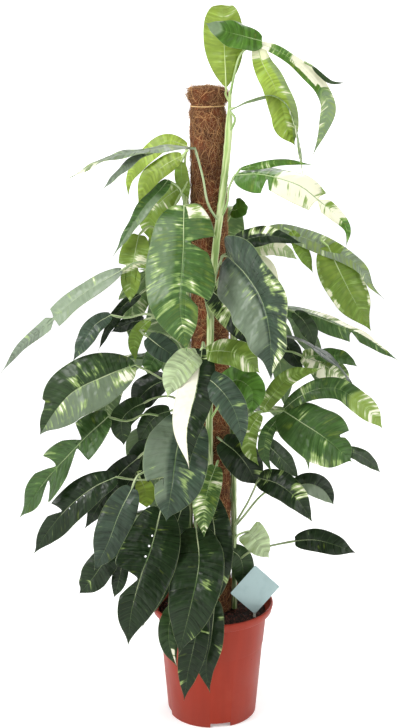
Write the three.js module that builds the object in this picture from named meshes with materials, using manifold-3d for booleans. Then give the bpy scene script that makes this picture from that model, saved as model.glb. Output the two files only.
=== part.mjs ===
// Potted variegated epipremnum pinnatum on a coir pole, in millimetres, +Z up, the front towards -Y.
// The origin is the centre of the pot's underside.
import * as THREE from 'three';
import { mergeVertices } from 'three/addons/utils/BufferGeometryUtils.js';
import Module from 'manifold-3d';

const wasm = await Module();
wasm.setup();

// Driving dimensions
const GAP = 0.3;

const POT = {
  height: 231,
  rimRadius: 120,
  rimBand: 16,
  bodyTopRadius: 107.5,
  stepHeight: 146,
  stepDepth: 1.2,
  baseRadius: 87.5,
  wall: 2,
  inset: 1,
  stepRise: 4,
  shoulder: 3,
  rimDraft: 3,
  rimRounding: 3,
  lipWidth: 3.2,
  lipDrop: 0.5,
  floorHeight: 10,
  footRadius: 28,
  footFlare: 4,
  ringWidth: 3,
  sides: 28,
};
const FOOT_NOTCH = { count: 4, width: 40, height: 9, depth: 14, outset: 0.5, firstAzimuth: -79.3 };
const DRAIN_HOLE = { count: 6, radius: 5, circle: 60, through: 20, sides: 8 };

const SOIL = { top: 212, mound: 4, moundRadius: 70, wallClearance: 1.6, footInset: 2 };
// What stands in the compost is a little slimmer than its hole
const HOLE = {
  sleeveClearance: 0.5,
  stemClearance: 0.8,
  stemHeights: [128, 170, 260],
  stemSides: 12,
  stemSteps: 4,
};

// outline is the coir's radius at a few heights: a slow taper, the tied neck and the knob above it
const POLE = {
  axisAtFloor: 4,
  leanPerMm: -0.0118,
  neckHeight: 1190,
  neckRadius: 30.2,
  outline: [[35.5, 60], [35.5, 420], [34.5, 760], [32.5, 1020], [31.9, 1176], [30.2, 1187], [30.2, 1193],
    [34.8, 1200], [36.4, 1210], [32.4, 1220], [18, 1223]],
  sides: 20,
};
const CORE = { radius: 12.5, bottom: 25, top: 1200, sides: 12 };
const TWINE = { radius: 1, sides: 5 };

const TAG = {
  side: 72,
  thickness: 0.8,
  middle: [82, -42, 271],
  turn: 18,
  tilt: 45,
  stakeWidth: 5,
  stakeThickness: 1.6,
  stakeBottom: 140,
  stakeTop: 318,
};

const JOIN_TOLERANCE = 0.05;
const STEM = { samples: 9, sides: 7, steps: 22 };

// A blade with no values of its own has this peak, fold, sag and base. The rest shapes every blade. taper
// draws the tip out, and a lobe is rounded more on its side towards the leaf's base than on the other.
const BLADE = {
  thickness: 1,
  peak: 0.38,
  fold: 10,
  sag: 0.2,
  base: 0.5,
  taper: 1.6,
  cutCurve: 0.8,
  rearRounding: 0.34,
  frontRounding: 0.1,
  slantAtBase: -0.5,
  slantRise: 1.5,
  slantCurve: 0.7,
  stations: [0, 0.1, 0.24, 0.42, 0.6, 0.8, 1],
  stationGap: 0.06,
};

// A petiole leaves its stem outwards, climbs, and comes into its blade in line with the midrib. outward,
// lift and arrival are shares of the span from stem to blade, and climb is a share of the rise.
const PETIOLE = {
  radius: 2,
  sides: 3,
  steps: 5,
  intoBlade: 0.15,
  outward: 0.3,
  lift: 0.25,
  mostLift: 30,
  climb: 0.35,
  arrival: 0.18,
};

// Leaf points are given as they are seen from the front: across and down the picture, which is 400 by 728,
// and then the depth in millimetres, negative towards the viewer. The eye's place and pitch turn them to 3-D.
const EYE = { x: -24.2, y: -2400, z: 1300, pitch: 13.8, focal: 1308.6, centreAcross: 200, centreDown: 364 };

function seen([across, down, depth]) {
  const pitch = THREE.MathUtils.degToRad(EYE.pitch);
  const sideways = (across - EYE.centreAcross) / EYE.focal;
  const upwards = (EYE.centreDown - down) / EYE.focal;
  const ray = new THREE.Vector3(
    sideways,
    Math.cos(pitch) + upwards * Math.sin(pitch),
    -Math.sin(pitch) + upwards * Math.cos(pitch),
  );
  const reach = (depth - EYE.y) / ray.y;
  return new THREE.Vector3(EYE.x, EYE.y, EYE.z).addScaledVector(ray, reach);
}

const poleX = (z) => POLE.axisAtFloor + POLE.leanPerMm * z;

function around([azimuth, radius, z]) {
  const angle = THREE.MathUtils.degToRad(azimuth);
  return new THREE.Vector3(poleX(z) + radius * Math.cos(angle), radius * Math.sin(angle), z);
}

// The four climbing stems, as azimuth round the pole at a few heights
const STEMS = {
  front: { radius: 6.5, away: 45, turns: [[130, -95], [600, -95], [850, -88], [960, -72], [1060, -52],
    [1140, -36], [1216, -28]] },
  left: { radius: 5.5, away: 43, turns: [[130, -168], [600, -172], [1085, -168]] },
  right: { radius: 5.5, away: 43, turns: [[130, -12], [600, -8], [880, -5]] },
  back: { radius: 5.5, away: 43, turns: [[130, 96], [600, 88], [1130, 94]] },
};

// Leaves that the front view shows. from is the height on the stem where the petiole leaves it, by is what
// the petiole passes, rib is the midrib from base to tip, and wide is the blade's full width in millimetres.
// turn and twist roll the blade about its rib, fold lifts its halves, and peak says how far along it is
// widest. left and right list cuts, as [place along the rib, how near the rib it starts, half gap].
const SEEN_LEAVES = [
  // Crown, above the pole
  { "name": "crown_upright", "vine": "front", "from": 1196, "wide": 72, "fold": -8, "peak": 0.4,
    "base": 1.1, "rib": [[226, 88, -22], [225, 58, -26], [223, 22, -18], [222, 5, 8], [223, 10, 45]] },
  { "name": "crown_arch", "vine": "front", "from": 1206, "wide": 36, "turn": 20, "peak": 0.5,
    "by": [[234, 76, -24], [241, 54, -27]],
    "rib": [[254, 43, -29], [272, 48, -31], [288, 57, -33], [305, 70, -35], [321, 88, -39],
      [328, 106, -42], [323, 130, -46], [313, 155, -44]] },
  { "name": "crown_side_lobe", "vine": "front", "joins": [[243, 50, -27]], "wide": 54, "fold": 6,
    "peak": 0.36, "rib": [[262, 41, -30], [243, 36, -45], [224, 31, -54], [205, 23, -58]] },
  { "name": "crown_hanging_lobe", "vine": "front", "joins": [[248, 46, -28]], "wide": 50, "fold": 10,
    "peak": 0.64, "rib": [[257, 43, -31], [262, 62, -42], [273, 83, -50], [282, 106, -54],
      [287, 127, -55], [295, 146, -52]] },
  { "name": "crown_spur", "vine": "front", "joins": [[304, 62, -33]], "wide": 9, "fold": 4,
    "rib": [[312, 66, -34], [320, 74, -38], [331, 82, -43], [346, 83, -46]] },
  { "name": "crown_drooping", "vine": "front", "from": 1140, "wide": 42, "turn": 64, "twist": 10,
    "fold": 8, "peak": 0.4,
    "rib": [[234, 108, -34], [250, 101, -42], [272, 96, -50], [286, 104, -56], [297, 134, -60],
      [303, 177, -56]] },

  // Front of the pole
  { "name": "left_arching", "vine": "front", "from": 985, "wide": 50, "turn": -50, "fold": 8,
    "by": [[208, 204, -62], [203, 178, -68]],
    "rib": [[195, 148, -72], [172, 147, -82], [148, 150, -88], [110, 157, -92], [64, 181, -92]] },
  { "name": "left_arching_finger", "vine": "front", "joins": [[166, 148, -84]], "wide": 26, "fold": 6,
    "turn": -35, "rib": [[156, 150, -87], [140, 155, -92], [121, 170, -98], [101, 191, -96]] },
  { "name": "front_big", "vine": "front", "from": 950, "wide": 130, "turn": -4, "fold": 8, "sag": 0.3,
    "by": [[200, 206, -74]],
    "rib": [[184, 206, -100], [183, 256, -160], [180, 307, -195], [187, 352, -200]],
    "left": [[0.27, 0.22, 0.05], [0.6, 0.2, 0.04]] },
  { "name": "right_white", "vine": "front", "from": 985, "wide": 70, "turn": 16, "twist": -50, "fold": -24,
    "peak": 0.28, "by": [[227, 204, -46], [229, 188, -50]],
    "rib": [[235, 175, -55], [258, 174, -72], [281, 179, -88], [302, 187, -96], [318, 200, -102],
      [334, 213, -106], [347, 229, -106], [346, 248, -102]],
    "left": [[0.6, 0.1, 0.03]], "right": [[0.23, 0.2, 0.025], [0.6, 0.1, 0.04]] },
  { "name": "right_white_finger", "vine": "front", "joins": [[236, 175, -55]], "wide": 15, "fold": 4,
    "rib": [[240, 169, -57], [262, 165, -63], [285, 162, -66], [314, 165, -66]] },
  { "name": "front_dark_big", "vine": "front", "from": 860, "wide": 144, "turn": -62, "twist": 45,
    "fold": 30, "peak": 0.26, "by": [[222, 258, -68]],
    "rib": [[228, 256, -95], [247, 276, -150], [263, 303, -185], [270, 336, -205], [271, 380, -205]] },
  { "name": "front_dark_arch", "vine": "front", "from": 850, "wide": 42, "fold": 14,
    "rib": [[226, 254, -70], [246, 240, -110], [272, 236, -140], [304, 244, -150]] },
  { "name": "front_mid", "vine": "front", "from": 700, "wide": 68, "fold": 12,
    "rib": [[202, 349, -105], [196, 391, -170], [187, 430, -215], [189, 469, -230]] },
  { "name": "front_mid_left_lobe", "vine": "front", "joins": [[203, 347, -103]], "wide": 52, "fold": 8,
    "rib": [[199, 352, -108], [186, 361, -140], [174, 377, -160], [167, 398, -165]] },
  { "name": "front_mid_right_lobe", "vine": "front", "joins": [[202, 347, -102]], "wide": 52, "fold": 8,
    "peak": 0.5,
    "rib": [[204, 352, -106], [222, 351, -135], [240, 355, -150], [260, 373, -150]] },
  { "name": "front_mid_long_lobe", "vine": "front", "joins": [[199, 362, -118]], "wide": 54, "fold": 8,
    "rib": [[200, 374, -130], [215, 384, -165], [230, 402, -190], [239, 424, -200], [242, 448, -200]] },
  { "name": "front_low_broad", "vine": "front", "from": 560, "wide": 118, "fold": 8, "peak": 0.42,
    "rib": [[186, 416, -115], [177, 450, -190], [172, 486, -240], [166, 522, -255]],
    "right": [[0.62, 0.35, 0.025]] },
  { "name": "front_dark_behind", "vine": "front", "from": 800, "wide": 62,
    "rib": [[208, 288, -56], [222, 300, -68], [238, 320, -76], [250, 347, -78]] },
  { "name": "front_green_small", "vine": "front", "from": 610, "wide": 60, "fold": 16,
    "rib": [[221, 387, -60], [238, 380, -85], [252, 391, -105], [251, 415, -115]] },
  { "name": "front_mottled", "vine": "front", "from": 470, "wide": 50, "fold": 14,
    "rib": [[216, 466, -75], [209, 485, -110], [204, 510, -135], [204, 538, -145]] },
  { "name": "front_lower_hang", "vine": "front", "from": 360, "wide": 96, "fold": 14,
    "rib": [[196, 528, -120], [199, 563, -195], [191, 605, -240], [178, 656, -250]] },
  { "name": "front_lower_behind", "vine": "front", "from": 430, "wide": 66, "fold": 10,
    "rib": [[207, 492, -82], [215, 535, -130], [213, 580, -165], [197, 624, -180]] },
  { "name": "pot_hang_middle", "vine": "front", "from": 270, "wide": 52, "fold": 14,
    "rib": [[201, 604, -150], [194, 645, -185], [188, 672, -195], [184, 701, -195]] },
  { "name": "pot_hang_right", "vine": "front", "from": 280, "wide": 48, "fold": 16,
    "rib": [[215, 600, -138], [211, 640, -160], [206, 668, -165], [210, 693, -165]] },
  { "name": "pot_hang_left", "vine": "front", "from": 260, "wide": 40, "fold": 14,
    "rib": [[178, 602, -134], [169, 626, -165], [170, 648, -180], [177, 667, -185]] },

  // Right of the pole
  { "name": "right_long", "vine": "right", "from": 860, "wide": 40, "turn": 8, "fold": 12,
    "rib": [[258, 234, -30], [280, 231, -38], [302, 237, -44], [326, 247, -50], [346, 257, -56],
      [362, 269, -60], [371, 286, -62], [384, 299, -60]] },
  { "name": "right_long_spur", "vine": "right", "joins": [[284, 228, -38]], "wide": 26, "fold": 6,
    "rib": [[291, 231, -42], [299, 244, -50], [306, 258, -54], [313, 273, -54]] },
  { "name": "right_hanging_lobe", "vine": "right", "joins": [[321, 240, -49]], "wide": 78, "fold": 4,
    "peak": 0.32, "rib": [[328, 246, -53], [337, 266, -62], [351, 294, -66], [371, 331, -64]] },
  { "name": "right_pale_back", "vine": "right", "from": 850, "wide": 34, "fold": 8,
    "rib": [[250, 250, 5], [272, 247, 15], [284, 250, 20], [298, 260, 25]] },
  { "name": "right_small_dark", "vine": "back", "from": 925, "wide": 36, "fold": 6,
    "by": [[229, 218, 38]], "rib": [[232, 210, 32], [236, 210, 28], [240, 207, 24], [245, 202, 20]] },
  { "name": "right_cream_back", "vine": "right", "from": 830, "wide": 52, "fold": 8,
    "rib": [[246, 258, 5], [260, 268, 10], [268, 281, 15], [270, 298, 20]] },
  { "name": "right_reaching", "vine": "right", "from": 750, "wide": 44, "turn": 12, "fold": -20,
    "sweep": 0.6, "rib": [[282, 308, -15], [312, 315, -10], [337, 325, -5], [365, 338, 0], [399, 361, 5]],
    "right": [[0.56, 0.1, 0.05]] },
  { "name": "right_reaching_spur", "vine": "right", "joins": [[289, 310, -14]], "wide": 34, "fold": 6,
    "rib": [[294, 312, -17], [303, 320, -22], [310, 331, -24], [315, 347, -24]] },
  { "name": "right_edge_on", "vine": "right", "from": 715, "wide": 60, "turn": 62, "fold": 14,
    "rib": [[286, 336, -12], [305, 343, -20], [337, 366, -30], [355, 389, -34]] },
  { "name": "right_dark_inner", "vine": "right", "from": 700, "wide": 40,
    "rib": [[281, 337, 20], [288, 347, 25], [303, 369, 30]] },
  { "name": "right_mottled", "vine": "right", "from": 680, "wide": 56, "fold": 8,
    "rib": [[302, 356, 25], [320, 363, 30], [337, 374, 35], [352, 389, 40]] },
  { "name": "right_mottled_lobe", "vine": "right", "joins": [[305, 358, 26]], "wide": 30, "fold": 6,
    "rib": [[314, 356, 25], [330, 355, 28], [345, 358, 32], [358, 367, 36]] },
  { "name": "hub_broad", "vine": "right", "from": 600, "wide": 104, "fold": 6, "peak": 0.47,
    "by": [[252, 414, -46], [270, 411, -56]],
    "rib": [[284, 411, -70], [302, 423, -110], [325, 438, -135], [352, 462, -145]],
    "left": [[0.66, 0.5, 0.03]] },
  { "name": "hub_arching", "vine": "right", "joins": [[274, 411, -58]], "wide": 44, "fold": 10, "peak": 0.66,
    "rib": [[284, 409, -64], [299, 397, -76], [318, 389, -88], [338, 389, -94], [356, 400, -98],
      [371, 413, -98], [383, 429, -94]] },
  { "name": "hub_upper_finger", "vine": "right", "joins": [[250, 414, -45]], "wide": 34, "fold": 12,
    "rib": [[262, 411, -56], [272, 396, -66], [290, 377, -72], [323, 368, -72]] },
  { "name": "hub_lower_finger", "vine": "right", "joins": [[274, 411, -58]], "wide": 26, "fold": 8,
    "rib": [[281, 415, -66], [268, 432, -82], [264, 452, -90], [272, 473, -90]] },
  { "name": "hub_left_finger", "vine": "right", "joins": [[252, 413, -47]], "wide": 34, "fold": 10,
    "rib": [[260, 414, -55], [250, 430, -66], [249, 448, -74], [259, 466, -78]] },
  { "name": "right_far_small", "vine": "right", "from": 560, "wide": 28, "fold": 8,
    "rib": [[344, 451, -20], [355, 453, -15], [368, 460, -10], [381, 473, -5]] },
  { "name": "right_low_dark", "vine": "right", "from": 520, "wide": 70, "fold": 10,
    "rib": [[222, 441, -44], [236, 452, -54], [248, 467, -60], [257, 485, -60]] },
  { "name": "right_low_streaked", "vine": "right", "from": 370, "wide": 56, "fold": 16,
    "peak": 0.3, "by": [[236, 523, -50], [248, 502, -62]],
    "rib": [[259, 478, -80], [278, 484, -110], [297, 499, -130], [313, 523, -135]] },
  { "name": "right_low_inner", "vine": "right", "from": 500, "wide": 40, "fold": 8,
    "rib": [[262, 440, -10], [275, 452, -5], [287, 464, 0], [299, 479, 5]] },
  { "name": "right_low_outer", "vine": "right", "from": 385, "wide": 48, "fold": 16,
    "by": [[243, 517, -40], [266, 492, -25]],
    "rib": [[292, 488, -10], [308, 484, -5], [323, 490, 0], [334, 505, 5]] },
  { "name": "right_low_pale", "vine": "right", "from": 330, "wide": 56, "fold": 14, "peak": 0.12,
    "by": [[238, 535, -48]],
    "rib": [[249, 531, -54], [255, 538, -58], [261, 547, -60], [269, 558, -60]] },
  { "name": "right_low_lance", "vine": "right", "from": 310, "wide": 46, "fold": 10,
    "by": [[252, 551, -46], [274, 545, -54]],
    "rib": [[295, 541, -60], [315, 540, -66], [335, 545, -70], [356, 553, -70]] },
  { "name": "right_behind_tag", "vine": "right", "from": 320, "wide": 46, "fold": 12,
    "rib": [[229, 549, -26], [239, 556, -28], [243, 569, -28], [240, 588, -28]] },

  // Left of the pole
  { "name": "left_top_finger", "vine": "left", "from": 1040, "wide": 34, "fold": 8,
    "by": [[185, 162, -14]],
    "rib": [[187, 146, -18], [168, 141, -10], [146, 156, 0], [130, 178, 10], [128, 197, 15]] },
  { "name": "left_second_finger", "vine": "left", "joins": [[188, 150, -19]], "wide": 40, "fold": 8,
    "rib": [[182, 156, -18], [165, 165, -12], [148, 180, -5], [138, 205, 0]] },
  { "name": "left_third_finger", "vine": "left", "joins": [[186, 152, -19]], "wide": 26, "fold": 6,
    "rib": [[181, 162, -20], [182, 178, -24], [189, 199, -26]] },
  { "name": "left_folded", "vine": "left", "from": 950, "wide": 38, "turn": -30, "fold": 12, "peak": 0.24,
    "by": [[184, 202, -48], [179, 188, -54]],
    "rib": [[168, 180, -58], [160, 190, -68], [146, 205, -76], [130, 229, -80], [112, 258, -78]] },
  { "name": "left_bright", "vine": "left", "from": 940, "wide": 54, "fold": 8,
    "rib": [[179, 188, -20], [163, 200, -15], [150, 218, -10], [150, 241, -5]] },
  { "name": "left_lobed_light", "vine": "left", "from": 900, "wide": 58, "fold": 10,
    "by": [[150, 226, -46]],
    "rib": [[139, 235, -62], [134, 258, -70], [131, 276, -74], [130, 303, -74]],
    "left": [[0.45, 0.4, 0.05]], "right": [[0.45, 0.4, 0.05]] },
  { "name": "left_longest", "vine": "left", "from": 830, "wide": 48, "turn": -16, "fold": 12,
    "by": [[153, 267, -66], [138, 262, -78]],
    "rib": [[122, 270, -85], [98, 284, -82], [73, 301, -70], [47, 325, -55], [21, 347, -38],
      [1, 373, -20]],
    "left": [[0.5, 0.15, 0.03]], "right": [[0.5, 0.15, 0.03]] },
  { "name": "left_grey", "vine": "left", "from": 760, "wide": 35, "fold": 12,
    "by": [[148, 314, -76], [126, 318, -84]],
    "rib": [[111, 315, -88], [95, 325, -96], [83, 343, -100], [73, 361, -98]] },
  { "name": "left_dark_twisted", "vine": "left", "from": 780, "wide": 30, "turn": 60, "fold": 20,
    "rib": [[140, 294, -50], [125, 304, -40], [112, 321, -30], [98, 351, -20]] },
  { "name": "left_dark_small", "vine": "left", "from": 740, "wide": 28, "fold": 10,
    "rib": [[144, 320, -40], [130, 323, -30], [111, 332, -25]] },
  { "name": "left_light_small", "vine": "left", "from": 745, "wide": 26, "fold": 8,
    "rib": [[150, 320, -44], [138, 332, -50], [134, 345, -52], [136, 362, -52]] },
  { "name": "left_inner_grey", "vine": "left", "from": 720, "wide": 48, "fold": 10,
    "rib": [[148, 337, -60], [158, 345, -66], [168, 352, -68], [179, 360, -68]] },
  { "name": "left_inner_green", "vine": "left", "from": 705, "wide": 42, "fold": 8,
    "rib": [[160, 350, -10], [153, 361, 0], [147, 374, 5]] },
  { "name": "left_cream_edge", "vine": "left", "from": 660, "wide": 104, "turn": 6, "fold": 10,
    "base": 0.75, "by": [[164, 380, -76], [148, 371, -88]],
    "rib": [[135, 365, -95], [103, 377, -108], [73, 392, -112], [56, 410, -110], [39, 436, -100]],
    "right": [[0.68, 0.75, 0.02]] },
  { "name": "left_dark_round", "vine": "left", "from": 640, "wide": 58, "fold": 8, "peak": 0.45,
    "rib": [[166, 380, -30], [154, 385, -25], [143, 394, -20], [134, 406, -15]] },
  { "name": "left_dark_star", "vine": "left", "from": 610, "wide": 48, "fold": 10,
    "rib": [[144, 403, -60], [132, 409, -60], [122, 420, -55], [124, 446, -50]] },
  { "name": "left_dark_wing", "vine": "left", "from": 600, "wide": 42, "fold": 10,
    "rib": [[170, 411, -50], [158, 415, -50], [148, 425, -50], [138, 442, -48]] },
  { "name": "left_deeply_cut", "vine": "left", "from": 590, "wide": 108, "turn": -26, "fold": 12,
    "sweep": 0.55, "by": [[146, 414, -64], [128, 421, -78]],
    "rib": [[108, 417, -90], [86, 437, -90], [67, 457, -88], [43, 484, -80], [19, 519, -65]],
    "left": [[0.3, 0.1, 0.08], [0.6, 0.15, 0.07]],
    "right": [[0.24, 0.08, 0.06], [0.5, 0.1, 0.08]] },
  { "name": "left_ribbed", "vine": "left", "from": 500, "wide": 66, "fold": 10, "sweep": 0.4,
    "by": [[140, 480, -76]],
    "rib": [[116, 477, -95], [94, 487, -100], [73, 503, -105], [52, 526, -105], [33, 555, -95]],
    "right": [[0.52, 0.15, 0.06]] },
  { "name": "left_shaded", "vine": "left", "from": 540, "wide": 52, "fold": 12,
    "rib": [[138, 458, -60], [120, 474, -55], [103, 499, -45], [84, 530, -35]] },
  { "name": "left_shaded_inner", "vine": "left", "from": 545, "wide": 60, "fold": 10,
    "rib": [[152, 440, -30], [140, 462, -20], [132, 488, -10], [127, 513, 0]] },
  { "name": "left_lit_patch", "vine": "left", "from": 470, "wide": 38, "fold": 8,
    "rib": [[141, 480, -20], [145, 490, -20], [147, 508, -18]] },
  { "name": "left_shaded_long", "vine": "left", "from": 460, "wide": 68, "fold": 14,
    "rib": [[132, 488, -110], [119, 514, -120], [108, 543, -125], [94, 571, -120]] },
  { "name": "left_lowest", "vine": "left", "from": 380, "wide": 58, "fold": 16,
    "rib": [[116, 551, -90], [103, 564, -95], [92, 579, -95], [79, 594, -90]] },
  { "name": "low_front_cut", "vine": "left", "from": 430, "wide": 108, "fold": 10,
    "rib": [[161, 509, -125], [151, 549, -190], [141, 576, -225], [131, 614, -250], [128, 646, -255]],
    "right": [[0.54, 0.1, 0.09]] },
  { "name": "low_dark_behind", "vine": "left", "from": 430, "wide": 58, "fold": 12,
    "rib": [[184, 502, -40], [173, 536, -50], [157, 590, -52], [142, 628, -45]] },
  { "name": "left_lowest_tip", "vine": "left", "joins": [[119, 551, -90]], "wide": 30, "fold": 8,
    "rib": [[122, 558, -93], [121, 570, -97], [118, 584, -99], [114, 598, -97]] },
];

// Leaves on the pole's far side, as azimuth, distance from the pole's middle and height in millimetres
const FAR_LEAVES = [
  { "name": "far_top", "vine": "back", "from": 1090, "wide": 60, "rib": [[93, 70, 1130], [92, 120, 1150],
    [91, 170, 1110], [91, 190, 1040]] },
  { "name": "far_top_right", "vine": "back", "from": 875, "wide": 88, "rib": [[76, 80, 905],
    [75, 140, 900], [74, 190, 835], [74, 205, 745]], "left": [[0.45, 0.3, 0.05]] },
  { "name": "far_upper_left", "vine": "back", "from": 1000, "wide": 100, "rib": [[110, 90, 1000],
    [112, 150, 985], [113, 200, 900], [113, 215, 790]], "right": [[0.4, 0.3, 0.05]] },
  { "name": "far_upper", "vine": "back", "from": 950, "wide": 112, "rib": [[88, 95, 985],
    [86, 175, 980], [85, 240, 890], [84, 260, 770]], "left": [[0.5, 0.3, 0.05]] },
  { "name": "far_right_high", "vine": "back", "from": 770, "wide": 96, "rib": [[38, 100, 800],
    [34, 180, 795], [31, 235, 720], [30, 250, 620]], "right": [[0.45, 0.35, 0.05]] },
  { "name": "far_left_high", "vine": "back", "from": 840, "wide": 96, "rib": [[127, 108, 870],
    [128, 185, 865], [129, 240, 800], [129, 256, 700]], "left": [[0.3, 0.3, 0.05], [0.6, 0.3, 0.05]] },
  { "name": "far_middle", "vine": "back", "from": 800, "wide": 122, "rib": [[104, 105, 820],
    [106, 200, 810], [107, 275, 720], [107, 300, 590]] },
  { "name": "far_right_mid", "vine": "back", "from": 740, "wide": 110, "rib": [[62, 110, 760],
    [60, 205, 755], [59, 275, 670], [58, 300, 550]], "left": [[0.35, 0.3, 0.05], [0.65, 0.35, 0.04]] },
  { "name": "far_left_mid", "vine": "back", "from": 690, "wide": 112, "rib": [[130, 115, 700],
    [133, 215, 690], [135, 290, 610], [136, 320, 490]], "left": [[0.45, 0.3, 0.05]] },
  { "name": "far_centre_mid", "vine": "back", "from": 630, "wide": 118, "rib": [[84, 115, 650],
    [82, 215, 640], [81, 290, 545], [80, 310, 420]], "left": [[0.5, 0.35, 0.05]] },
  { "name": "far_right_low", "vine": "back", "from": 580, "wide": 92, "rib": [[46, 100, 600],
    [43, 185, 590], [41, 245, 520], [40, 265, 440]] },
  { "name": "far_left_low", "vine": "back", "from": 540, "wide": 104, "rib": [[122, 105, 560],
    [123, 190, 550], [124, 248, 480], [124, 266, 385]], "right": [[0.4, 0.35, 0.05]] },
  { "name": "far_centre_low", "vine": "back", "from": 480, "wide": 112, "rib": [[108, 110, 500],
    [111, 205, 490], [113, 280, 400], [114, 295, 285]], "left": [[0.55, 0.3, 0.05]] },
  { "name": "far_low_right", "vine": "back", "from": 420, "wide": 96, "rib": [[86, 100, 440],
    [88, 180, 425], [89, 235, 340], [89, 245, 240]] },
  { "name": "far_low_left", "vine": "back", "from": 360, "wide": 100, "rib": [[134, 105, 385],
    [138, 190, 370], [140, 250, 290], [141, 262, 190]], "right": [[0.5, 0.4, 0.05]] },
  { "name": "far_lowest", "vine": "back", "from": 300, "wide": 84, "rib": [[98, 100, 330],
    [98, 165, 315], [98, 205, 250], [98, 215, 160]] },
];

// Closed meshes and their joins
function toSolid(geometry) {
  const bare = geometry.clone();
  bare.deleteAttribute('normal');
  bare.deleteAttribute('uv');
  const merged = mergeVertices(bare, 1e-4);
  return new wasm.Manifold(new wasm.Mesh({
    numProp: 3,
    vertProperties: merged.attributes.position.array,
    triVerts: merged.index.array,
  }));
}

function toGeometry(solid) {
  const { vertProperties, triVerts } = solid.getMesh();
  const geometry = new THREE.BufferGeometry();
  geometry.setAttribute('position', new THREE.BufferAttribute(new Float32Array(vertProperties), 3));
  geometry.setIndex(new THREE.BufferAttribute(new Uint32Array(triVerts), 1));
  return geometry;
}

// What the join seals inside, and any loose scrap, is left out by keeping the largest body alone
function joinedBody(solids) {
  const bodies = wasm.Manifold.union(solids).asOriginal().simplify(JOIN_TOLERANCE).decompose();
  return bodies.reduce((best, body) => (body.volume() > best.volume() ? body : best));
}

function tube(points, radius, sides, steps) {
  const section = new THREE.Shape();
  for (let side = 0; side < sides; side += 1) {
    const angle = (side / sides) * 2 * Math.PI;
    const corner = [radius * Math.cos(angle), radius * Math.sin(angle)];
    if (side === 0) section.moveTo(...corner);
    else section.lineTo(...corner);
  }
  const path = new THREE.CatmullRomCurve3(points, false, 'centripetal');
  return new THREE.ExtrudeGeometry(section, { steps, extrudePath: path });
}

// Leaf blades
function halfWidth(t, leaf) {
  const peak = leaf.peak ?? BLADE.peak;
  if (t < peak) return (1 - (1 - t / peak) ** 2) ** (leaf.base ?? BLADE.base);
  return (1 - ((t - peak) / (1 - peak)) ** 2) ** BLADE.taper;
}

// The side veins sweep back at the base and forward towards the tip. sweep adds to that in the middle.
function veinSlant(t, sweep = 0) {
  return BLADE.slantAtBase + BLADE.slantRise * t ** BLADE.slantCurve + sweep * Math.sin(Math.PI * t);
}

function stationsOf(leaf) {
  const cuts = [...(leaf.left ?? []), ...(leaf.right ?? [])].map(([at]) => at);
  const apart = (t) => cuts.every((cut) => Math.abs(cut - t) > BLADE.stationGap);
  const plain = BLADE.stations.filter(apart);
  return [...new Set([...plain, ...cuts])].sort((a, b) => a - b);
}

// One half blade is a fan of lobes. side is 1 for the left half and -1 for the right, seen tip up.
function addHalf(blade, side, cuts) {
  const { stations, place } = blade;
  const rows = [...new Set([...cuts.map(([, start]) => start), 1])].sort((a, b) => a - b);
  const edges = [0, ...cuts.map(([at]) => at), 1];
  const openness = (cut, row) => {
    if (!cut || row <= cut[1]) return 0;
    return cut[2] * ((row - cut[1]) / (1 - cut[1])) ** BLADE.cutCurve;
  };
  const shared = new Map();
  for (let lobe = 0; lobe < edges.length - 1; lobe += 1) {
    const lower = cuts[lobe - 1];
    const upper = cuts[lobe];
    const inLobe = stations.filter((t) => t >= edges[lobe] && t <= edges[lobe + 1]);
    const vertexAt = (t, rowIndex) => {
      if (t === 0) return blade.base;
      if (t === 1) return blade.tip;
      if (rowIndex < 0) return blade.ribVertices.get(t);
      const row = rows[rowIndex];
      const openBelow = lower && row > lower[1];
      const openAbove = upper && row > upper[1];
      const split = (openBelow && lower[0] === t) || (openAbove && upper[0] === t);
      const key = `${t}:${row}:${split ? lobe : 'shared'}`;
      if (!shared.has(key)) {
        const u = (t - edges[lobe]) / (edges[lobe + 1] - edges[lobe]);
        const from = edges[lobe] + openness(lower, row);
        const to = edges[lobe + 1] - openness(upper, row);
        const rear = openBelow ? BLADE.rearRounding * (1 - u) ** 2 : 0;
        const front = openAbove ? BLADE.frontRounding * u ** 4 : 0;
        const reach = row * (1 - rear - front);
        shared.set(key, blade.add(place(from + u * (to - from), side, reach)));
      }
      return shared.get(key);
    };
    for (let k = 0; k < inLobe.length - 1; k += 1) {
      for (let rowIndex = 0; rowIndex < rows.length; rowIndex += 1) {
        const near = [vertexAt(inLobe[k], rowIndex - 1), vertexAt(inLobe[k + 1], rowIndex - 1)];
        const far = [vertexAt(inLobe[k], rowIndex), vertexAt(inLobe[k + 1], rowIndex)];
        blade.quad(near[0], near[1], far[1], far[0], side);
      }
    }
  }
}

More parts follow.
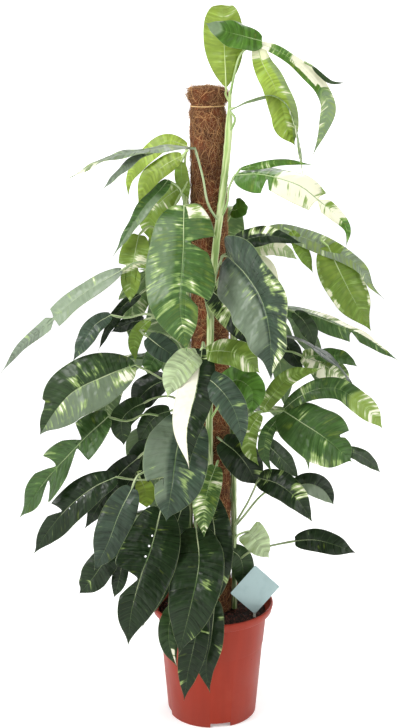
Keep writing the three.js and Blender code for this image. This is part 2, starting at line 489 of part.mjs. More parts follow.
function bladeSheet(leaf, ribPoints) {
  const rib = new THREE.CatmullRomCurve3(ribPoints, false, 'centripetal');
  const sag = leaf.sag ?? BLADE.sag;
  const fold = THREE.MathUtils.degToRad(leaf.fold ?? BLADE.fold);
  const points = [];
  const triangles = [];
  const place = (t, side, reach) => {
    const middle = rib.getPointAt(t);
    const along = rib.getTangentAt(t);
    const face = leaf.facing.clone().addScaledVector(along, -leaf.facing.dot(along)).normalize();
    const roll = THREE.MathUtils.degToRad((leaf.turn ?? 0) + (leaf.twist ?? 0) * t);
    face.applyAxisAngle(along, -roll);
    const across = new THREE.Vector3().crossVectors(face, along);
    const width = halfWidth(t, leaf) * (leaf.wide / 2) * reach;
    return middle
      .addScaledVector(across, side * width * Math.cos(fold))
      .addScaledVector(face, width * Math.sin(fold) - sag * width * reach)
      .addScaledVector(along, width * veinSlant(t, leaf.sweep));
  };
  const blade = {
    stations: stationsOf(leaf),
    place,
    add: (point) => points.push(point) - 1,
    quad: (a, b, c, d, side) => {
      const corners = [[a, b, c], [a, c, d]];
      corners.forEach(([p, q, r]) => {
        if (p !== q && q !== r && p !== r) triangles.push(side > 0 ? [p, q, r] : [p, r, q]);
      });
    },
  };
  blade.base = blade.add(rib.getPointAt(0));
  blade.tip = blade.add(rib.getPointAt(1));
  const inner = blade.stations.filter((t) => t > 0 && t < 1);
  blade.ribVertices = new Map(inner.map((t) => [t, blade.add(rib.getPointAt(t))]));
  addHalf(blade, 1, leaf.left ?? []);
  addHalf(blade, -1, leaf.right ?? []);
  return { points, triangles };
}

// A sheet becomes a closed blade: the same triangles on both faces, and a rim between them
function thicken({ points, triangles }) {
  const normals = points.map(() => new THREE.Vector3());
  triangles.forEach(([a, b, c]) => {
    const normal = new THREE.Vector3().crossVectors(
      points[b].clone().sub(points[a]),
      points[c].clone().sub(points[a]),
    );
    [a, b, c].forEach((corner) => normals[corner].add(normal));
  });
  const half = BLADE.thickness / 2;
  const upper = points.map((point, i) => point.clone().addScaledVector(normals[i].normalize(), half));
  const under = points.map((point, i) => point.clone().addScaledVector(normals[i], -half));
  const count = points.length;
  const edges = new Set(triangles.flatMap(([a, b, c]) => [`${a},${b}`, `${b},${c}`, `${c},${a}`]));
  const faces = [];
  triangles.forEach(([a, b, c]) => {
    faces.push(a, b, c, a + count, c + count, b + count);
    [[a, b], [b, c], [c, a]].forEach(([from, to]) => {
      if (edges.has(`${to},${from}`)) return;
      faces.push(to, from, from + count, to, from + count, to + count);
    });
  });
  const geometry = new THREE.BufferGeometry();
  const flat = [...upper, ...under].flatMap((point) => point.toArray());
  geometry.setAttribute('position', new THREE.BufferAttribute(new Float32Array(flat), 3));
  geometry.setIndex(faces);
  return geometry;
}

// Stems and petioles
function stemCurve(stem) {
  const [first] = stem.turns[0];
  const [last] = stem.turns[stem.turns.length - 1];
  const azimuthAt = (z) => {
    const next = Math.max(1, stem.turns.findIndex(([height]) => height >= z));
    const [lowZ, lowTurn] = stem.turns[next - 1];
    const [highZ, highTurn] = stem.turns[next];
    return THREE.MathUtils.mapLinear(z, lowZ, highZ, lowTurn, highTurn);
  };
  const pointAt = (z) => around([azimuthAt(z), stem.away, z]);
  const rise = (last - first) / (STEM.samples - 1);
  const heights = Array.from({ length: STEM.samples }, (_, i) => first + rise * i);
  return { pointAt, points: heights.map(pointAt) };
}

function petiolePath(leaf, stem, ribPoints) {
  const [base, next] = ribPoints;
  const inBlade = base.clone().lerp(next, PETIOLE.intoBlade);
  if (leaf.joins) return [...leaf.joins.map(seen), base, inBlade];
  const start = stem.pointAt(leaf.from);
  if (leaf.by) return [start, ...leaf.by.map(seen), base, inBlade];
  const span = base.distanceTo(start);
  const outward = new THREE.Vector3(base.x - start.x, base.y - start.y, 0).normalize();
  const rise = start.clone().addScaledVector(outward, PETIOLE.outward * span);
  rise.z += Math.min(PETIOLE.lift * span, PETIOLE.mostLift) + PETIOLE.climb * (base.z - start.z);
  const intoTip = next.clone().sub(base).normalize();
  const arrive = base.clone().addScaledVector(intoTip, -PETIOLE.arrival * span);
  return [start, rise, arrive, base, inBlade];
}

function leafSolids(leaf, stem) {
  const blade = toSolid(thicken(bladeSheet(leaf, leaf.ribPoints)));
  const path = petiolePath(leaf, stem, leaf.ribPoints);
  const petiole = toSolid(tube(path, PETIOLE.radius, PETIOLE.sides, PETIOLE.steps));
  return [blade, petiole];
}

// Blades face the light: outwards and up
const TO_VIEWER = new THREE.Vector3(0, -0.85, 0.53);
const OUTWARD_SHARE = 0.8;
const UPWARD_SHARE = 0.6;

function outwardFace([azimuth]) {
  const angle = THREE.MathUtils.degToRad(azimuth);
  return new THREE.Vector3(OUTWARD_SHARE * Math.cos(angle), OUTWARD_SHARE * Math.sin(angle), UPWARD_SHARE);
}

const ALL_LEAVES = [
  ...SEEN_LEAVES.map((leaf) => ({ ...leaf, facing: TO_VIEWER, ribPoints: leaf.rib.map(seen) })),
  ...FAR_LEAVES.map((leaf) => ({
    ...leaf,
    facing: outwardFace(leaf.rib[1]),
    ribPoints: leaf.rib.map(around),
  })),
];

function vineBody(name) {
  const stem = STEMS[name];
  const curve = stemCurve(stem);
  const climbing = toSolid(tube(curve.points, stem.radius, STEM.sides, STEM.steps));
  const leaves = ALL_LEAVES.filter((leaf) => leaf.vine === name);
  return joinedBody([climbing, ...leaves.flatMap((leaf) => leafSolids(leaf, curve))]);
}

// Pot, soil, pole and tag
function lathe(profile, sides) {
  const outline = profile.map(([radius, z]) => new THREE.Vector2(radius, z));
  return new THREE.LatheGeometry(outline, sides).rotateX(Math.PI / 2);
}

function potSolid() {
  const { height, rimRadius, bodyTopRadius, baseRadius, wall, inset, shoulder } = POT;
  const { floorHeight, footRadius } = POT;
  const bodyTop = height - POT.rimBand;
  const bodyRadius = (z) => THREE.MathUtils.mapLinear(z, 0, bodyTop, baseRadius, bodyTopRadius);
  const step = POT.stepHeight;
  const stepTop = step + POT.stepRise;
  const profile = [
    [0, 0],
    [footRadius, 0],
    [footRadius + POT.footFlare, floorHeight],
    [baseRadius - POT.ringWidth - inset, floorHeight],
    [baseRadius - POT.ringWidth, 0],
    [baseRadius, 0],
    [bodyRadius(step) - POT.stepDepth, step],
    [bodyRadius(step), stepTop],
    [bodyTopRadius, bodyTop - shoulder],
    [rimRadius - POT.rimDraft, bodyTop],
    [rimRadius, height - POT.rimRounding],
    [rimRadius - POT.rimRounding / 2, height],
    [rimRadius - POT.lipWidth, height - POT.lipDrop],
    [rimRadius - POT.rimDraft - wall, bodyTop + wall],
    [bodyTopRadius - wall, bodyTop - shoulder],
    [bodyRadius(step) - wall, stepTop],
    [bodyRadius(floorHeight) - wall - inset, floorHeight + wall],
    [footRadius + POT.footFlare - inset, floorHeight + wall],
    [footRadius - inset, wall],
    [0, wall],
  ];
  let pot = toSolid(lathe(profile, POT.sides));
  for (let i = 0; i < FOOT_NOTCH.count; i += 1) {
    const notch = new THREE.BoxGeometry(FOOT_NOTCH.depth, FOOT_NOTCH.width, 2 * FOOT_NOTCH.height);
    notch.translate(baseRadius + FOOT_NOTCH.outset, 0, 0);
    notch.rotateZ(THREE.MathUtils.degToRad(FOOT_NOTCH.firstAzimuth + (360 * i) / FOOT_NOTCH.count));
    pot = pot.subtract(toSolid(notch));
  }
  for (let i = 0; i < DRAIN_HOLE.count; i += 1) {
    const { radius, through, sides } = DRAIN_HOLE;
    const hole = new THREE.CylinderGeometry(radius, radius, through, sides);
    hole.rotateX(Math.PI / 2).translate(DRAIN_HOLE.circle, 0, floorHeight);
    hole.rotateZ((2 * Math.PI * i) / DRAIN_HOLE.count);
    pot = pot.subtract(toSolid(hole));
  }
  return pot;
}

function soilSolid(standing) {
  const { wall, bodyTopRadius, baseRadius, floorHeight, footRadius, footFlare, height, rimBand } = POT;
  const outer = (z) => THREE.MathUtils.mapLinear(z, 0, height - rimBand, baseRadius, bodyTopRadius);
  const inner = (z) => outer(z) - wall - SOIL.wallClearance;
  const floor = floorHeight + wall + GAP;
  const profile = [
    [0, wall + GAP],
    [footRadius - SOIL.footInset, wall + GAP],
    [footRadius + footFlare - SOIL.footInset, floor],
    [inner(floor), floor],
    [inner(SOIL.top), SOIL.top],
    [SOIL.moundRadius, SOIL.top + SOIL.mound],
    [0, SOIL.top + SOIL.mound],
  ];
  return standing.reduce((soil, post) => soil.subtract(post), toSolid(lathe(profile, POT.sides)));
}

function leaningWithPole(geometry) {
  const position = geometry.attributes.position;
  for (let i = 0; i < position.count; i += 1) {
    position.setX(i, position.getX(i) + poleX(position.getZ(i)));
  }
  return geometry;
}

function sleeveSolid() {
  const bore = CORE.radius + GAP;
  const boreTop = CORE.top + GAP;
  const [, bottom] = POLE.outline[0];
  const [, top] = POLE.outline[POLE.outline.length - 1];
  const profile = [[bore, bottom], ...POLE.outline, [0, top], [0, boreTop], [bore, boreTop], [bore, bottom]];
  return toSolid(leaningWithPole(lathe(profile, POLE.sides)));
}

// The room that the sleeve takes up in the compost, with no bore
function sleeveRoom() {
  const clearance = HOLE.sleeveClearance;
  const [radius, bottom] = POLE.outline[0];
  const profile = [
    [0, bottom - clearance],
    [radius + clearance, bottom - clearance],
    [radius + clearance, POT.height],
    [0, POT.height],
  ];
  return toSolid(leaningWithPole(lathe(profile, POLE.sides)));
}

function coreSolid(grow = 0) {
  const radius = CORE.radius + grow;
  const bottom = CORE.bottom - grow;
  const profile = [[0, bottom], [radius, bottom], [radius, CORE.top], [0, CORE.top]];
  return toSolid(leaningWithPole(lathe(profile, CORE.sides)));
}

function stakeSolid(grow = 0) {
  const { middle, stakeWidth, stakeThickness, stakeBottom, stakeTop } = TAG;
  const tall = stakeTop - stakeBottom + grow;
  const stake = new THREE.BoxGeometry(stakeWidth + 2 * grow, stakeThickness + 2 * grow, tall);
  stake.translate(0, 0, (stakeTop + stakeBottom - grow) / 2);
  stake.rotateZ(THREE.MathUtils.degToRad(TAG.turn)).translate(middle[0], middle[1], 0);
  return toSolid(stake);
}

function cardSolid() {
  const { side, thickness, middle, turn, tilt, stakeThickness } = TAG;
  const card = new THREE.BoxGeometry(side, thickness, side);
  card.rotateY(THREE.MathUtils.degToRad(tilt));
  card.translate(0, -(stakeThickness + thickness) / 2 - GAP, middle[2]);
  card.rotateZ(THREE.MathUtils.degToRad(turn)).translate(middle[0], middle[1], 0);
  return toSolid(card);
}

function twineSolid() {
  const ringRadius = POLE.neckRadius + TWINE.radius + GAP;
  const ring = new THREE.TorusGeometry(ringRadius, TWINE.radius, TWINE.sides, POLE.sides);
  ring.translate(0, 0, POLE.neckHeight);
  return toSolid(leaningWithPole(ring));
}

// What stands in the soil, a little larger, to leave plain holes
function standingInSoil() {
  const stems = Object.values(STEMS).map((stem) => {
    const foot = HOLE.stemHeights.map(stemCurve(stem).pointAt);
    return toSolid(tube(foot, stem.radius + HOLE.stemClearance, HOLE.stemSides, HOLE.stemSteps));
  });
  return [sleeveRoom(), coreSolid(GAP), stakeSolid(GAP), ...stems];
}

// The scene graph
const MATERIALS = {
  pot: new THREE.MeshStandardMaterial({ color: '#b54a38', roughness: 0.5 }),
  soil: new THREE.MeshStandardMaterial({ color: '#2a1c14', roughness: 1 }),
  coir: new THREE.MeshStandardMaterial({ color: '#6b4a38', roughness: 1 }),
  wood: new THREE.MeshStandardMaterial({ color: '#b08a5e', roughness: 0.8 }),
  twine: new THREE.MeshStandardMaterial({ color: '#c09a5f', roughness: 0.9 }),
  leaf: new THREE.MeshStandardMaterial({ color: '#3f6a35', roughness: 0.45 }),
  youngLeaf: new THREE.MeshStandardMaterial({ color: '#5d8a45', roughness: 0.45 }),
  card: new THREE.MeshStandardMaterial({ color: '#b7cccb', roughness: 0.4 }),
  stake: new THREE.MeshStandardMaterial({ color: '#dfe4dc', roughness: 0.5 }),
};

const group = new THREE.Group();

function addPiece(name, solid, material) {
  const mesh = new THREE.Mesh(toGeometry(solid), material);
  mesh.name = name;
  group.add(mesh);
}

addPiece('nursery_pot', potSolid(), MATERIALS.pot);
addPiece('potting_compost', soilSolid(standingInSoil()), MATERIALS.soil);
addPiece('pole_core', coreSolid(), MATERIALS.wood);
addPiece('coir_pole', sleeveSolid(), MATERIALS.coir);
addPiece('binding_twine', twineSolid(), MATERIALS.twine);
addPiece('tag_stake', stakeSolid(), MATERIALS.stake);
addPiece('tag_card', cardSolid(), MATERIALS.card);
addPiece('vine_front', vineBody('front'), MATERIALS.youngLeaf);
addPiece('vine_left', vineBody('left'), MATERIALS.leaf);
addPiece('vine_right', vineBody('right'), MATERIALS.leaf);
addPiece('vine_back', vineBody('back'), MATERIALS.leaf);

export default group;
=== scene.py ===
# %% [markdown]
# # A variegated climbing aroid on a coir pole
# This lesson dresses a packed model of a potted epipremnum pinnatum. The model gives every piece its real
# size and place. The script makes the surfaces: waxy leaves with veins and cream sectors, matted coconut
# fibre, a moulded pot, damp compost and a plain plant tag. Everything is in metres, +Z up, front towards
# -Y.

import math
from functools import partial

import bmesh
import bpy
import numpy as np
from mathutils import Matrix, Vector, noise


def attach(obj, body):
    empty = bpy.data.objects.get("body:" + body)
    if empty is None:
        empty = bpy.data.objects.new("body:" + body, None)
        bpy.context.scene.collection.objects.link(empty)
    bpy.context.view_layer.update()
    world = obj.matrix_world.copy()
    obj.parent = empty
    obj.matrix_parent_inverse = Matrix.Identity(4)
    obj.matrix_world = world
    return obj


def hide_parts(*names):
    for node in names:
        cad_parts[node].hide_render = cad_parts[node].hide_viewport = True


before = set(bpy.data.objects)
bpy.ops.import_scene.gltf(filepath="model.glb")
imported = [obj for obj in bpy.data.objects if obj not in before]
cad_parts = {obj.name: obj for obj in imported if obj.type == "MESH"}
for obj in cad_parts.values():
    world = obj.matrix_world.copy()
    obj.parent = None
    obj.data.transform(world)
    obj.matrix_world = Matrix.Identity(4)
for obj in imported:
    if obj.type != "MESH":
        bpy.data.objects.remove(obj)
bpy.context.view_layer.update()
MM = 0.001
print("nodes in the frame:", sorted(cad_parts))

# %% [markdown]
# ## Camera
# The photograph was taken from 2.4 m away at 1.3 m above the floor, looking 13.8 degrees down. The focal
# length in picture pixels, over the picture's height, gives the lens on a 36 mm sensor.

# %% Camera
EYE = {"x": -24.2, "y": -2400, "z": 1300, "pitch": 13.8, "focal": 1308.6, "across": 200, "down": 364}
PICTURE_HEIGHT = 728
SENSOR = 36

camera_data = bpy.data.cameras.new("Camera")
camera_data.sensor_width = SENSOR
camera_data.lens = EYE["focal"] / PICTURE_HEIGHT * SENSOR
camera = bpy.data.objects.new("Camera", camera_data)
camera.location = (EYE["x"] * MM, EYE["y"] * MM, EYE["z"] * MM)
camera.rotation_euler = (math.radians(90 - EYE["pitch"]), 0, 0)
bpy.context.collection.objects.link(camera)
bpy.context.scene.camera = camera
print("lens", round(camera_data.lens, 2), "mm")

# %% [markdown]
# ## Colours and nodes
# Colours are written as sRGB hex values, as a paint chart gives them, and one function makes them linear.
# One small function adds a node with its settings and its links, so each material reads as a recipe: its
# patterns, the layers of colour that they bring out, its relief and its shine.

# %% Helpers for colours and nodes
SOFT_STEP = {"interpolation_type": "SMOOTHSTEP"}


def linear(hex_code):
    """An sRGB hex value as the linear RGBA that sockets take."""
    channels = [int(hex_code[i:i + 2], 16) / 255 for i in (1, 3, 5)]
    bright = [c / 12.92 if c <= 0.04045 else ((c + 0.055) / 1.055) ** 2.4 for c in channels]
    return (*bright, 1.0)


def add_node(tree, kind, inputs=None, **settings):
    """Adds a node. inputs lists values in the sockets' order, or maps a socket's name, number or identifier
    to one. A value may also be the output that feeds the socket, or a node, for its first output in use."""
    node = tree.nodes.new(kind)
    for setting, value in settings.items():
        setattr(node, setting, value)
    by_identifier = {socket.identifier: socket for socket in node.inputs}
    given = inputs if isinstance(inputs, dict) else dict(enumerate(inputs or []))
    for key, value in given.items():
        socket = by_identifier[key] if key in by_identifier else node.inputs[key]
        if isinstance(value, bpy.types.Node):
            value = next(output for output in value.outputs if output.enabled)
        if isinstance(value, bpy.types.NodeSocket):
            tree.links.new(value, socket)
        else:
            socket.default_value = value
    return node


print("mid grey is", round(linear("#808080")[0], 3), "in linear light")


# %% Helpers for materials
def new_material(name):
    """An empty node material, and what adds a node to it."""
    material = bpy.data.materials.new(name)
    material.use_nodes = True
    material.node_tree.nodes.clear()
    return material, partial(add_node, material.node_tree)


def painted(add, colour, layers):
    """A colour under layers of others. Each layer is how much of it shows, and its hex value."""
    for share, hex_code in layers:
        colour = add("ShaderNodeMix", {"Factor_Float": share, "A_Color": colour, "B_Color": linear(hex_code)},
                     data_type="RGBA")
    return colour


def surface(add, colour, relief, shine):
    """Ends a material: its relief, if it has any, then its shader and the output."""
    if relief:
        shine = {**shine, "Normal": add("ShaderNodeBump", relief)}
    shader = add("ShaderNodeBsdfPrincipled", {"Base Color": colour, **shine})
    add("ShaderNodeOutputMaterial", {"Surface": shader})


def link_object(name, mesh):
    """A mesh as an object at the origin."""
    piece = bpy.data.objects.new(name, mesh)
    bpy.context.collection.objects.link(piece)
    return piece


print("a material is", " then ".join(step.__name__ for step in (new_material, painted, surface)))

# %% [markdown]
# ## Studio
# Product photographs of plants are taken on a white sweep: a floor that curves up into a wall, so that no
# horizon shows. This one curves up all the way round, as a bowl of paper, because the plant is looked at
# from every side. Large soft lights at both sides leave the pot's middle a little darker than its edges,
# and a light from behind shines through the young leaves.

# %% Paper bowl
SWEEP = {"flat": 4.0, "floor": 9.0, "radius": 2.0, "height": 5.5, "steps": 12, "sides": 72}
# The paper glows a little, and more where it is further from the plant
PAPER_GLOW = {"From Min": 1.2, "From Max": 5.0, "To Min": 0.24, "To Max": 0.68}


def sweep_profile():
    """Floor to wall as (radius, z) points, with a quarter circle between them."""
    floor, bend = SWEEP["floor"], SWEEP["radius"]
    turn = [math.pi / 2 * i / SWEEP["steps"] for i in range(SWEEP["steps"] + 1)]
    curve = [(floor + bend * math.sin(a), bend * (1 - math.cos(a))) for a in turn]
    return [(SWEEP["flat"], 0.0), *curve, (floor + bend, SWEEP["height"])]


def sweep_mesh():
    sides = SWEEP["sides"]
    turns = [2 * math.pi * k / sides for k in range(sides)]
    points = [(radius * math.cos(a), radius * math.sin(a), z) for radius, z in sweep_profile() for a in turns]
    faces = [tuple(range(sides))]
    for first in range(0, len(points) - sides, sides):
        faces += [(first + k, first + sides + k, first + sides + (k + 1) % sides, first + (k + 1) % sides)
                  for k in range(sides)]
    mesh = bpy.data.meshes.new("studio_sweep")
    mesh.from_pydata(points, [], faces)
    mesh.shade_smooth()
    return mesh


def paper_material():
    """Uncoated paper, rolled matt. It has no highlight, so the ground stays even."""
    material, add = new_material("matt white background paper")
    place = add("ShaderNodeTexCoord").outputs["Object"]
    distance = add("ShaderNodeVectorMath", [place], operation="LENGTH").outputs["Value"]
    glow = add("ShaderNodeMapRange", {"Value": distance, **PAPER_GLOW})
    surface(add, linear("#F6F6F6"), None, {"Roughness": 0.9, "Emission Color": linear("#FFFFFF"),
                                           "Emission Strength": glow})
    return material


sweep = link_object("studio_sweep", sweep_mesh())
sweep.data.materials.append(paper_material())
print("paper bowl:", len(sweep.data.polygons), "faces")

# %% Lights
SUBJECT = Vector((0, 0, 0.7))
LIGHTS = [
    {"name": "key_left", "place": (-2.2, -1.5, 2.3), "size": 1.3, "watts": 86},
    {"name": "fill_right", "place": (2.3, -1.2, 1.6), "size": 1.6, "watts": 28},
    {"name": "behind", "place": (0.7, 1.7, 2.5), "size": 1.6, "watts": 44},
    {"name": "above", "place": (0.0, -0.6, 3.4), "size": 2.0, "watts": 30},
]
WORLD_STRENGTH = 0.12

for light in LIGHTS:
    lamp = bpy.data.lights.new(light["name"], "AREA")
    lamp.size = light["size"]
    lamp.energy = light["watts"]
    holder = bpy.data.objects.new(light["name"], lamp)
    holder.location = light["place"]
    holder.rotation_euler = (SUBJECT - Vector(light["place"])).to_track_quat("-Z", "Y").to_euler()
    bpy.context.collection.objects.link(holder)

world = bpy.data.worlds.new("studio")
world.use_nodes = True
world.node_tree.nodes["Background"].inputs["Color"].default_value = (1, 1, 1, 1)
world.node_tree.nodes["Background"].inputs["Strength"].default_value = WORLD_STRENGTH
bpy.context.scene.world = world
bpy.context.scene.view_settings.view_transform = "Standard"
print("lights:", [light["name"] for light in LIGHTS])

# %% [markdown]
# ## Geometry Nodes: one way to run a tree
# What follows a path or repeats, such as stems, petioles, fibres, threads and crumbs, is made by Geometry
# Nodes. Each tree has named inputs for its sizes. The result is turned into a plain mesh straight away,
# so that every finished piece is ordinary geometry.

# %% Helpers for Geometry Nodes
SOCKET_KINDS = {float: "NodeSocketFloat", int: "NodeSocketInt"}


def new_tree(name, sizes):
    """A tree with an input for each named size, what adds a node to it, and what its inputs give."""
    tree = bpy.data.node_groups.new(name, "GeometryNodeTree")
    tree.interface.new_socket("Geometry", in_out="INPUT", socket_type="NodeSocketGeometry")
    tree.interface.new_socket("Geometry", in_out="OUTPUT", socket_type="NodeSocketGeometry")
    for label, value in sizes.items():
        socket = tree.interface.new_socket(label, in_out="INPUT", socket_type=SOCKET_KINDS[type(value)])
        socket.default_value = value
    add = partial(add_node, tree)
    return tree, add, add("NodeGroupInput").outputs


def end_tree(add, geometry, material):
    """Realizes instances, smooths and sets the material, as every tree here ends."""
    real = add("GeometryNodeRealizeInstances", {"Geometry": geometry})
    smooth = add("GeometryNodeSetShadeSmooth", {"Geometry": real})
    dressed = add("GeometryNodeSetMaterial", {"Geometry": smooth, "Material": material})
    add("NodeGroupOutput", {"Geometry": dressed})


def grow(name, mesh, tree, sizes=None):
    """Runs a tree on a mesh, with some sizes of its own, and gives the result as a plain mesh object."""
    carrier = link_object(name + "_carrier", mesh)
    modifier = carrier.modifiers.new("Grow", "NODES")
    modifier.node_group = tree
    for socket in tree.interface.items_tree:
        if socket.in_out == "INPUT" and socket.name in (sizes or {}):
            modifier[socket.identifier] = sizes[socket.name]
    return settle(name, carrier)


def settle(name, carrier):
    """Turns an object with modifiers into a plain mesh object, and removes what carried it."""
    depsgraph = bpy.context.evaluated_depsgraph_get()
    evaluated = carrier.evaluated_get(depsgraph)
    mesh = bpy.data.meshes.new_from_object(evaluated, preserve_all_data_layers=True, depsgraph=depsgraph)
    mesh.name = name
    carrier.modifiers.clear()
    bpy.data.objects.remove(carrier)
    return link_object(name, mesh)


def finish_piece(piece, node):
    """Rides a piece on the one body, stands it for a node and prints its count of triangles."""
    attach(piece, "root")
    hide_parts(node)
    triangles = sum(len(face.vertices) - 2 for face in piece.data.polygons)
    print(piece.name, triangles, "triangles")


print("a size is one of", [kind.__name__ for kind in SOCKET_KINDS])

# %% [markdown]
# ## Where the pole and the stems stand
# The pole leans a little to the left as it rises. The four stems climb beside it, as an azimuth round the
# pole at a few heights. These are the same values as in the construction.

# %% Pole and stems
POLE = {"axis_at_floor": 4, "lean_per_mm": -0.0118, "neck": 1190, "neck_radius": 30.2}
POLE_OUTLINE = [(35.5, 60), (35.5, 420), (34.5, 760), (32.5, 1020), (31.9, 1176), (30.2, 1187), (30.2, 1193),
                (34.8, 1200), (36.4, 1210), (32.4, 1220), (18, 1223)]
STEMS = {
    "front": {"radius": 6.5, "away": 45, "turns": [(130, -95), (600, -95), (850, -88), (960, -72),
                                                  (1060, -52), (1140, -36), (1216, -28)]},
    "left": {"radius": 5.5, "away": 43, "turns": [(130, -168), (600, -172), (1085, -168)]},
    "right": {"radius": 5.5, "away": 43, "turns": [(130, -12), (600, -8), (880, -5)]},
    "back": {"radius": 5.5, "away": 43, "turns": [(130, 96), (600, 88), (1130, 94)]},
}


def pole_x(z):
    return POLE["axis_at_floor"] + POLE["lean_per_mm"] * z


def around(azimuth, radius, z):
    """A point round the pole, in millimetres."""
    angle = math.radians(azimuth)
    return np.array([pole_x(z) + radius * math.cos(angle), radius * math.sin(angle), z])


def on_stem(vine, z):
    """The middle of a climbing stem at a height."""
    heights, turns = zip(*STEMS[vine]["turns"])
    return around(np.interp(z, heights, turns), STEMS[vine]["away"], z)


def seen(across, down, depth):
    """A point seen at that place in the picture, at that depth in millimetres."""
    pitch = math.radians(EYE["pitch"])
    sideways = (across - EYE["across"]) / EYE["focal"]
    upwards = (EYE["down"] - down) / EYE["focal"]
    ray = np.array([sideways, math.cos(pitch) + upwards * math.sin(pitch),
                    -math.sin(pitch) + upwards * math.cos(pitch)])
    eye = np.array([EYE["x"], EYE["y"], EYE["z"]])
    return eye + ray * (depth - EYE["y"]) / ray[1]


print("the pole leans", round(pole_x(0) - pole_x(POLE["neck"]), 1), "mm to the left up to its neck")

# %% [markdown]
# ## The leaves
# Each leaf of the construction is listed again: its stem, the height on it where the petiole leaves, or
# the point where a lobe leaves its leaf, the blade's width and the midrib's points. Then come its roll,
# fold and cuts, and what the petiole passes. A cut is where it starts along the rib, where it starts on
# the way out and how wide it opens. A fourth number closes it again, as a hole. Leaves of the front are
# given as they are seen, as across and down the picture and a depth. Leaves of the far side are given
# round the pole.
#
# On a variegated plant no two leaves are coloured alike. Young ones at the top are yellow-green, and their
# lime is partly a painted glow of light through them. Old ones near the pot are dark, partly painted
# shade under the foliage above. Grey and silver leaves have a painted sheen in their green, and the pale
# patches are partly a painted sheen. Cream sectors run out from the midrib between the side veins. So
# each leaf has a green, a share of cream and one of lime, and patches: what, on which half (1 left, -1
# right, 0 both, seen with the tip up), from and to along the rib, from and to across the half, and how
# strong.

# %% Greens
# Lime is partly a painted glow of light through young leaves, dark partly painted shade under the foliage
# above, grey and silver are greens with a painted sheen in them, and pale is partly a painted sheen
GREENS = {
    "lime": "#98AC4A", "young": "#698333", "bright": "#4A7028", "mid": "#3A5628", "mature": "#27391D",
    "dark": "#162510", "grey": "#303F31", "silver": "#6E7B69", "pale": "#A9B990",
}
# How much of the light behind a leaf of that green comes through
GLOW = {"lime": 0.42, "young": 0.34, "bright": 0.24, "mid": 0.17, "mature": 0.12, "dark": 0.09, "grey": 0.1,
        "silver": 0.14, "pale": 0.22}


def blade(name, vine, start, wide, rib, look=None, patches=(), **shape):
    """A leaf, or a lobe or finger of one, as the lists below give it."""
    return {"name": name, "vine": vine, "start": start, "wide": wide, "rib": rib, "look": look,
            "patches": patches, **shape}


print(len(GREENS), "greens, from", min(GLOW, key=GLOW.get), "to", max(GLOW, key=GLOW.get))

